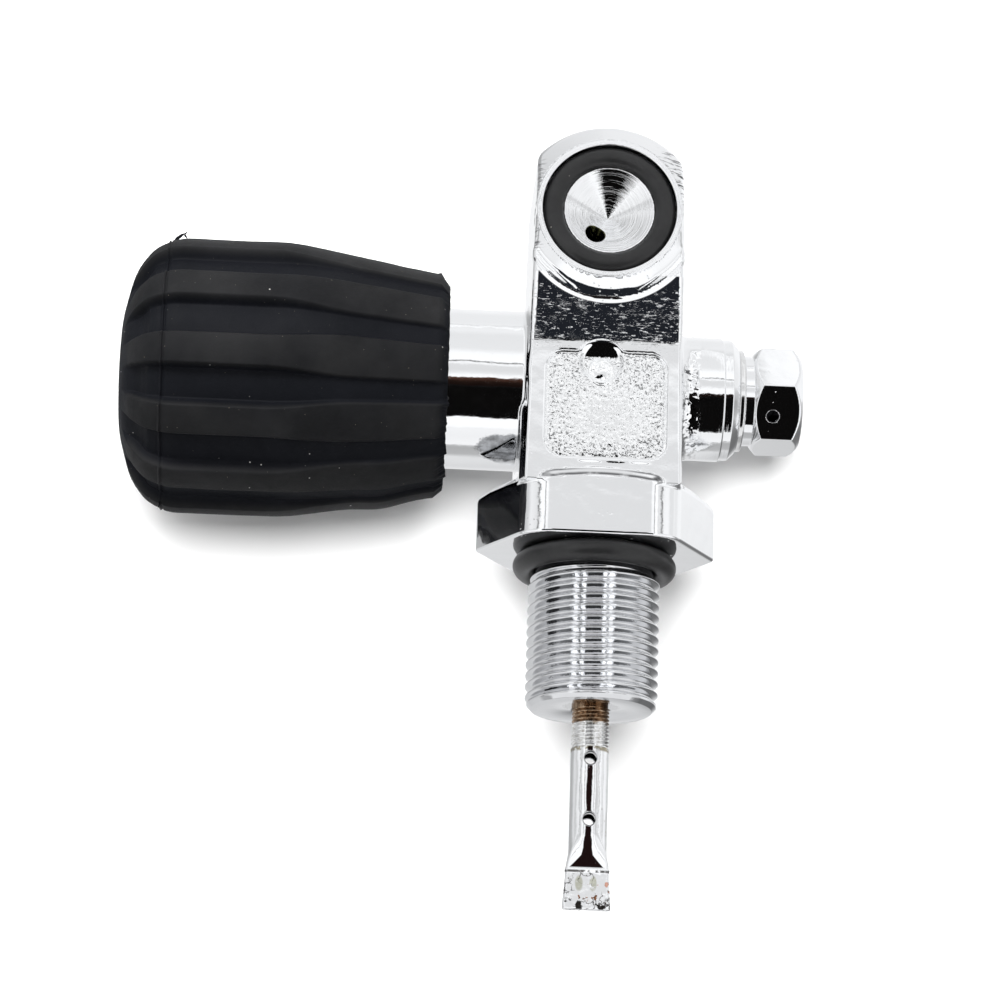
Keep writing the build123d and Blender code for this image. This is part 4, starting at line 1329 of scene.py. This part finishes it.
def seal_material():
    s = Surface("seal_rubber_mat")
    colour = s.ramp(s.noise(scale=260, detail=4, rough=0.6),
                    [(0.35, (0.018, 0.018, 0.019)), (0.7, (0.032, 0.032, 0.033))])
    distance, tag = s.cells(900)
    dust = s.step(distance, start=0.12, end=0.05) * s.step(s.red(tag), start=0.90, end=0.93)
    s.set("Base Color", s.mix(dust, colour, (0.40, 0.38, 0.34)))
    s.set("Roughness", s.blend(s.noise(scale=500, detail=3, rough=0.6), 0.30, 0.42))
    s.set("Specular IOR Level", 0.44)
    s.bumps((s.noise(scale=1800, detail=4, rough=0.6), 0.00003, 0.6))
    return s.material


def put(ob, material):
    ob.data.materials.clear()
    ob.data.materials.append(material)


def soften(ob, width):
    bevel = ob.modifiers.new("edges", "BEVEL")
    bevel.width = width * MM
    bevel.segments = 2
    bevel.limit_method = "ANGLE"
    bevel.angle_limit = math.radians(35)
    bevel.harden_normals = False


# ---------------------------------------------------------------------------
# build
# ---------------------------------------------------------------------------
body = build_body()
panel = build_panel()
outlet_insert = build_outlet()
neck = build_neck()
arm_end = build_arm_end()
plug_hex, plug_washer = build_plug()
outlet_ring, neck_ring = build_rings()
dip_tube, tube_thread = build_tube()
grip = build_grip()
flash = build_flash()

put(body, forging_plate())
put(panel, cast_plate())
put(outlet_insert, turned_plate())
put(neck, neck_plate())
put(arm_end, arm_plate())
put(plug_hex, plug_plate())
put(plug_washer, simple_metal("washer_plate", (0.88, 0.88, 0.88), roughness=0.10))
put(dip_tube, tube_plate())
put(tube_thread, bare_thread())
seal = seal_material()
rubber = grip_material()
put(outlet_ring, seal)
put(neck_ring, seal)
for ob in (grip, *flash):
    put(ob, rubber)

steel = simple_metal("steel", (0.62, 0.63, 0.64), roughness=0.22)
yellow = simple_metal("machined_brass", (0.78, 0.56, 0.26), roughness=0.24)
copper = simple_metal("copper_metal", (0.80, 0.42, 0.28), roughness=0.30)
nut_plate = simple_metal("nut_plate", (0.86, 0.87, 0.88), roughness=0.12)
white = plastic("white_plastic_mat", (0.80, 0.79, 0.76), roughness=0.4)
dark = plastic("black_plastic_mat", (0.02, 0.02, 0.021), roughness=0.45)
FINISH = {
    "bonnet_nut": nut_plate, "bonnet_o_ring": seal, "spindle": yellow, "spindle_o_rings": seal,
    "spindle_backup_ring": white, "spindle_thrust_washer": white, "seat_carrier": yellow,
    "seat_insert": white, "handwheel_core": dark, "handwheel_spring_washer": steel,
    "handwheel_spring": steel, "handwheel_nut": steel, "burst_disc": copper,
    "burst_disc_gasket": copper,
}
for name, material in FINISH.items():
    put(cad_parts[name], material)
# bevel widths in millimetres
SOFT_EDGES = {"bonnet_nut": 0.12, "handwheel_core": 0.12, "handwheel_nut": 0.08, "spindle": 0.05}
for name, width in SOFT_EDGES.items():
    soften(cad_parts[name], width)

# ---------------------------------------------------------------------------
# camera
# ---------------------------------------------------------------------------
CAMERA_AT = np.array([-30.157, -475.281, -132.655])
TARGET = np.array([-18.0, 0.0, 18.0])
# the picture's three directions: into it, rightwards and upwards
VIEW = np.array([0.03471547, 0.9586215, 0.28255911])
VIEW = VIEW / np.linalg.norm(VIEW)
RIGHT = np.cross(VIEW, (-0.04230811, -0.2810664, 0.95875529))
RIGHT /= np.linalg.norm(RIGHT)
UP = np.cross(RIGHT, VIEW)

camera_data = bpy.data.cameras.new("camera")
camera = new_object("camera", camera_data)
turned = Matrix(np.column_stack([RIGHT, UP, -VIEW]).tolist())
camera.matrix_world = Matrix.Translation(Vector(CAMERA_AT * MM)) @ turned.to_4x4()
camera_data.sensor_width = 36
camera_data.lens = 132.3792
camera_data.clip_start = 0.01
camera_data.clip_end = 10
bpy.context.scene.camera = camera


# ---------------------------------------------------------------------------
# cards that only mirrors see
# ---------------------------------------------------------------------------
def staged_sheet(name, corners, faces):
    me = bpy.data.meshes.new(name)
    me.from_pydata((np.array(corners, float) * MM).tolist(), [], faces)
    ob = new_object(name, me)
    return ob


def square_to_view(name, centre, left, right, bottom, top):
    """A rectangle square to the view direction."""
    sides = ((left, bottom), (right, bottom), (right, top), (left, top))
    corners = [centre + RIGHT * across + UP * up for across, up in sides]
    return staged_sheet(name, corners, [(0, 1, 2, 3)])


def sheet_nodes(name):
    material = bpy.data.materials.new(name + "_mat")
    material.use_nodes = True
    return material, Nodes(material.node_tree)


def dress_card(ob, material, n, alpha, colour):
    """A glowing sheet, clear where alpha is 0, kept out of all but mirror reflections."""
    clear = n.add("ShaderNodeBsdfTransparent")
    n.close("ShaderNodeOutputMaterial", n.mix_shader(alpha, clear, n.emission(colour)))
    put(ob, material)
    ob.visible_camera = False
    ob.visible_diffuse = False
    ob.visible_shadow = False
    ob.visible_transmission = False
    ob.visible_volume_scatter = False


def ray_origin(n):
    """Where the ray that meets a card started, in metres."""
    incoming, position = n.add("ShaderNodeNewGeometry", out=("Incoming", "Position"))
    length = n.add("ShaderNodeLightPath", out="Ray Length")
    back = n.add("ShaderNodeVectorMath", {0: incoming, "Scale": length}, operation="SCALE")
    return n.split(n.vector("ADD", position, back))


def build_front_card():
    """Shaped card before the valve; its outline depends on the part that mirrors it.

    The arms see a brown strip on top of it, the column a taller black part, the plug and right
    arm a longer lower part. Card heights and widths are in millimetres from TARGET.
    """
    card = square_to_view("card_front", TARGET - VIEW * 400, -230, 200, -840, 190)
    material, n = sheet_nodes("card_front")
    position = n.add("ShaderNodeNewGeometry", out="Position")
    rel = n.vector("SUBTRACT", position, TARGET * MM)
    across = n.dot(rel, RIGHT) * 1000.0
    up = n.dot(rel, UP) * 1000.0
    ox, oy, oz = ray_origin(n)
    on_left = n.step(ox, start=-0.0102, end=-0.0108)
    on_right = n.step(ox, start=0.0104, end=0.0108)
    on_arm = n.math("MAXIMUM", on_left, on_right)
    # top edge as (across, height)
    tall = n.curve(across, [(-230, 30), (22, 30), (26, 172), (70, 170), (78, 130), (82, 60),
                            (86, 30), (200, 30)], top=200)
    wide_tall = n.curve(across, [(-230, 30), (22, 30), (26, 174), (100, 170), (112, 130),
                                 (118, 30), (200, 30)], top=200)
    swell = n.band(oz, start=0.0268, end=0.0370, soft=0.0002)
    top = n.blend(on_arm, n.blend(swell, tall, wide_tall), 30.0)
    rho = n.hypot(ox, oz - OUTLET_Z * MM)
    on_head = n.band(rho, start=0.0095, end=0.0134, soft=0.0001)
    on_head = on_head * n.step(oy, start=-0.0100, end=-0.0104)
    bottom = n.blend(on_right, n.blend(on_head, -348.0, -250.0), -820.0)
    wide = n.band(across, start=-212, end=186, soft=1.5)
    below = n.step(top - up, start=-2.0, end=2.0)
    above = n.step(up - bottom, start=-2.0, end=2.0)
    black = wide * below * above
    # ragged lower limit on the left of the body
    tooth = (n.noise(at=n.join(ox, oy), scale=900, detail=3, rough=0.6) - 0.5) * 0.0026
    low = (oz - tooth) + (ox + 0.0125) * 0.10
    ragged = n.step(low, start=0.00265, end=0.00250) * n.step(ox, start=-0.0100, end=-0.0102)
    black = black * (1.0 - ragged) * n.step(oz, start=-0.0264, end=-0.0261)
    # none in the hollow beside the head's lower rim
    front_low = n.step(oy, start=-0.0095, end=-0.0100) * n.step(oz, start=0.0375, end=0.0370)
    hollow = n.band(rho, start=0.01225, end=0.01282, soft=0.00006) * front_low
    black = black * (1.0 - hollow)
    # brown strip
    brown_top = n.blend(on_left, 72.0, 118.0)
    strip = n.step(up, start=22, end=30) * n.step(brown_top - up, start=-3.0, end=3.0)
    brown = strip * (wide * on_arm)
    tone = n.ramp((up - 26.0) / 124.0, [
        (0.0, (0.004, 0.002, 0.002)), (0.35, (0.015, 0.008, 0.006)), (0.62, (0.06, 0.028, 0.020)),
        (0.86, (0.17, 0.085, 0.060)), (1.0, (0.40, 0.25, 0.19))])
    on_swell = n.band(oz, start=0.0268, end=0.0370, soft=0.0004)
    navy = n.mix(on_swell * (1.0 - on_arm), (0.003, 0.0028, 0.0028), (0.014, 0.016, 0.021))
    colour = n.mix(black, tone, navy)
    dress_card(card, material, n, n.math("MAXIMUM", black, brown), colour)


def near_card(name, corners, mask, colour):
    """A small card made of a strip of corner pairs, mirrored only by what starts in mask."""
    quads = [(2 * i, 2 * i + 1, 2 * i + 3, 2 * i + 2) for i in range(len(corners) // 2 - 1)]
    ob = staged_sheet(name, corners, quads)
    material, n = sheet_nodes(name)
    dress_card(ob, material, n, mask(n), colour(n) if callable(colour) else colour)


def started_between(n, low, high):
    """1 where the ray that meets the card starts between two heights, in millimetres."""
    return n.band(ray_origin(n)[2], low * MM, high * MM, soft=0.0002)


def flank_tones(n):
    """What the thread's flanks mirror: dark middle, two split bright bands, grey beyond."""
    incoming = n.add("ShaderNodeNewGeometry", out="Incoming")
    rightwards = n.dot(n.vector("MULTIPLY", incoming, (-1.0, -1.0, -1.0)), RIGHT)
    # (direction's rightward part, brightness)
    value = n.curve(rightwards, [
        (-1, 0.40), (-0.975, 0.28), (-0.965, 0.08), (-0.90, 0.07), (-0.87, 0.28), (-0.62, 0.20),
        (-0.55, 0.12), (-0.53, 2.2), (-0.43, 2.2), (-0.41, 0.15), (-0.34, 0.15), (-0.32, 2.2),
        (-0.25, 2.2), (-0.21, 0.05), (0.26, 0.05), (0.29, 2.2), (0.37, 2.2), (0.385, 0.15),
        (0.42, 0.15), (0.435, 2.2), (0.55, 2.2), (0.58, 0.10), (0.66, 0.15), (0.88, 0.30),
        (1, 0.42)], top=2.2)
    return n.tinted(value, red=0.96, green=0.98)


def head_crescent(n):
    """The lower rim of the head's chamfer, thick left of the middle, thinning to both sides."""
    ox, oy, oz = ray_origin(n)
    rho = n.hypot(ox, oz - OUTLET_Z * MM) * 1000.0
    # (x, inner edge's radius above 10.45), in millimetres
    edge = n.curve(ox * 1000.0, [
        (-10, 2.2), (-7.5, 1.7), (-5.6, 1.0), (-3.6, 0.60), (-1.6, 0.70), (0.4, 1.15),
        (2.2, 1.9), (3.4, 3.0), (10, 3.0)], top=3.0)
    inner = n.step(rho - (edge + 10.45), start=-0.04, end=0.05)
    outer = n.step(rho, start=12.62, end=12.50)
    low = n.step(oz, start=0.0375, end=0.0370) * n.step(oy, start=-0.0118, end=-0.0121)
    return inner * outer * low


def tube_line(n):
    """The dip tube's dark middle line, fanning out just above the pressed end."""
    ox, _, oz = ray_origin(n)
    # (z, half width), in millimetres
    half = n.curve(oz * 1000.0, [
        (-43, 2.6), (-42.6, 2.4), (-41.7, 1.5), (-40.9, 0.75), (-40.0, 0.55), (-38.0, 0.55),
        (-37.0, 3), (-26, 3)], top=3)
    off = n.abs(ox * 1000.0 + 0.12)
    line = n.step(half - off, start=-0.05, end=0.05)
    return line * n.band(oz, start=-0.0424, end=-0.0265, soft=0.0001)


def tube_fan(n):
    return tube_line(n) * n.step(ray_origin(n)[2], start=-0.0392, end=-0.0396)


def flange_roll(n):
    front = n.step(ray_origin(n)[1], start=-0.0118, end=-0.0121)
    return started_between(n, 4.4, 7.0) * front


def sheet_corners(left, right, low, high):
    """Corner pairs of a rectangle from left to right; low and high are (y, z)."""
    return [(x, *edge) for x in (left, right) for edge in (low, high)]


def neck_arc(radius, low, high, reach, count=28):
    """Corner pairs on a cylinder round the neck, reach degrees to either side of -Y."""
    out = []
    for i in range(count + 1):
        t = math.radians(-reach + 2 * reach * i / count)
        out += [(radius * math.sin(t), -radius * math.cos(t), z) for z in (low, high)]
    return out


def flange_arc():
    """Corner pairs of a strip above the line of sight, 110 from the flange's front."""
    out = []
    for x in (-150, 150):
        for degrees in (41, 66):
            t = math.radians(degrees)
            out.append(np.array([x, -12.0, 6.0]) + 110 * (-VIEW * math.cos(t) + UP * math.sin(t)))
    return out


build_front_card()
near_card("card_tube", sheet_corners(-16, 14, (-60, -160), (-60, 8)), tube_line,
          colour=(0.012, 0.005, 0.005))
near_card("card_fan", sheet_corners(-90, 90, (-62, -300), (-62, -40)), tube_fan,
          colour=(0.008, 0.005, 0.005))
near_card("card_neck", sheet_corners(-17.4, 15.2, (-61, -14), (-61, 22)),
          lambda n: started_between(n, -26.0, -2.6), colour=(0.80, 0.80, 0.81))
near_card("card_flank", neck_arc(radius=64, low=17, high=110, reach=125),
          lambda n: started_between(n, -20.4, -2.9), colour=flank_tones)
near_card("card_arc", flange_arc(), flange_roll, colour=(0.06, 0.06, 0.065))
near_card("card_rim", sheet_corners(-260, 260, (-330, -380), (-40, -75)), head_crescent,
          colour=(0.012, 0.010, 0.010))

# ---------------------------------------------------------------------------
# studio: what mirrors see, backdrop, world
# ---------------------------------------------------------------------------
# (degrees above the direction back to the camera, brightness)
STUDIO_HEIGHT = [
    (-180, 0.86), (-158, 0.78), (-147, 0.74), (-132, 0.80), (-116, 0.80), (-108, 0.50),
    (-92, 0.46), (-88.6, 0.60), (-87.4, 1.00), (-72, 0.95), (-59, 0.98), (-56, 1.10),
    (-38, 1.10), (0, 1.06), (19, 1.08), (23, 0.86), (27, 0.79), (34.5, 0.80), (36.0, 1.10),
    (37.9, 1.10), (38.5, 0.03), (39.5, 0.03), (40.1, 1.12), (52, 1.08), (60, 0.88), (84, 0.86),
    (92, 0.95), (110, 0.90), (134, 0.90), (150, 0.98), (180, 0.98)]
# (degrees from -Y towards +X, brightness)
STUDIO_SIDE = [
    (-180, 0.98), (-125, 0.92), (-98, 0.84), (-82, 0.74), (-64, 0.86), (-45.5, 0.74),
    (-43, 1.30), (-28.5, 1.30), (-27.5, 0.42), (-25.5, 0.42), (-24.5, 1.30), (-19, 1.30),
    (-15, 1.0), (13, 1.0), (16, 1.30), (24.5, 1.30), (25.5, 0.45), (27, 0.45), (28, 1.30),
    (34, 1.30), (37, 0.80), (60, 0.92), (82, 0.98), (118, 1.04), (180, 1.0)]
# softer greys to the back and the sides: direction, cosines where it starts and is full, tone
STUDIO_GREYS = [
    ((0.66, 0.66, -0.35), 0.74, 0.99, 0.22), ((-0.62, 0.62, 0.48), 0.80, 0.99, 0.45),
    ((1.0, 0.0, -0.04), 0.955, 0.999, 0.50), ((-1.0, 0.0, -0.04), 0.965, 0.999, 0.60)]


def studio(n, direction):
    """Colour of the studio in a direction, for mirrors."""
    toward = n.dot(direction, -VIEW)
    upward = n.dot(direction, UP)
    dx, dy, dz = n.split(direction)
    degrees = 180 / math.pi
    height = n.math("ARCTAN2", upward, toward) * degrees
    side = n.math("ARCTAN2", dx, dy * -1.0) * degrees
    wobble = (n.noise(at=direction, scale=2.6, detail=2, rough=0.5) - 0.5) * 2.0
    shade = n.curve(height + wobble, STUDIO_HEIGHT, top=1.3)
    side_shade = n.curve(side, STUDIO_SIDE, top=1.4)
    down = n.step(dz, start=-0.45, end=-0.65)
    value = shade * n.blend(down, side_shade, 1.0)
    for aim, start, full, tone in STUDIO_GREYS:
        aim = np.array(aim) / np.linalg.norm(aim)
        near = n.step(n.dot(direction, aim), start, full)
        value = value * n.blend(near, 1.0, tone)
    return n.tinted(n.math("MINIMUM", value, 1.12), red=0.982, green=0.990)


def build_backdrop():
    """Pale sheet behind the valve, clear from its back. Mirrors see it in the studio's tones."""
    centre = TARGET + VIEW * (27.5 - float(VIEW @ TARGET))
    ob = square_to_view("backdrop", centre, -1500, 1500, -1500, 1500)
    material, n = sheet_nodes("backdrop")
    matt = n.add("ShaderNodeBsdfDiffuse", {0: (0.93, 0.93, 0.93)})
    incoming, backfacing = n.add("ShaderNodeNewGeometry", out=("Incoming", "Backfacing"))
    glow = n.emission(studio(n, n.vector("MULTIPLY", incoming, (-1.0, -1.0, -1.0))))
    face = n.mix_shader(n.add("ShaderNodeLightPath", out="Is Glossy Ray"), matt, glow)
    clear = n.add("ShaderNodeBsdfTransparent")
    n.close("ShaderNodeOutputMaterial", n.mix_shader(backfacing, face, clear))
    put(ob, material)
    return ob


def build_world():
    """White to the camera, the studio's tones to mirrors, even fill to matt surfaces."""
    world = bpy.data.worlds.new("studio")
    bpy.context.scene.world = world
    world.use_nodes = True
    n = Nodes(world.node_tree)
    is_glossy, is_camera = n.add("ShaderNodeLightPath", out=("Is Glossy Ray", "Is Camera Ray"))
    direction = n.add("ShaderNodeTexCoord", out="Generated")

    def background(colour, strength):
        return n.add("ShaderNodeBackground", {0: colour, 1: strength})

    mirrored = background(studio(n, direction), strength=1.0)
    seen = background((1, 1, 1), strength=1.0)
    fill = background((1, 1, 1), strength=0.38)
    unseen = n.mix_shader(is_glossy, fill, mirrored)
    n.close("ShaderNodeOutputWorld", n.mix_shader(is_camera, unseen, seen))


backdrop = build_backdrop()
build_world()


# ---------------------------------------------------------------------------
# lights
# ---------------------------------------------------------------------------
def area(name, back, up, left, size, power, glossy=False):
    """A light aimed at TARGET from a place back towards the camera, above and left of it."""
    data = bpy.data.lights.new(name, "AREA")
    data.shape = "RECTANGLE"
    data.size = size[0] * MM
    data.size_y = size[1] * MM
    data.energy = power
    ob = new_object(name, data)
    place = Vector((TARGET - VIEW * back + UP * up - RIGHT * left) * MM)
    ob.location = place
    ob.rotation_mode = "QUATERNION"
    ob.rotation_quaternion = (Vector(TARGET * MM) - place).to_track_quat("-Z", "Y")
    ob.visible_glossy = glossy
    return ob


def light_only(light, name, objects):
    """Limits a light to some of the objects."""
    group = bpy.data.collections.new(name)
    for ob in objects:
        group.objects.link(ob)
    light.light_linking.receiver_collection = group


# throws the close shadow on the backdrop
floor_key = area("key_floor", back=560, up=134, left=0, size=(250, 240), power=6.2)
light_only(floor_key, "lit_floor", [backdrop])
# grazing highlights on the rubber
rubber_key = area("key_rubber", back=300, up=330, left=140, size=(260, 120), power=1.6, glossy=True)
light_only(rubber_key, "lit_rubber", [grip, *flash])
# plain soft light for everything that is not a mirror
area("fill_front", back=520, up=160, left=160, size=(420, 420), power=0.9)

bpy.context.scene.view_settings.view_transform = "Standard"
bpy.context.scene.view_settings.look = "None"
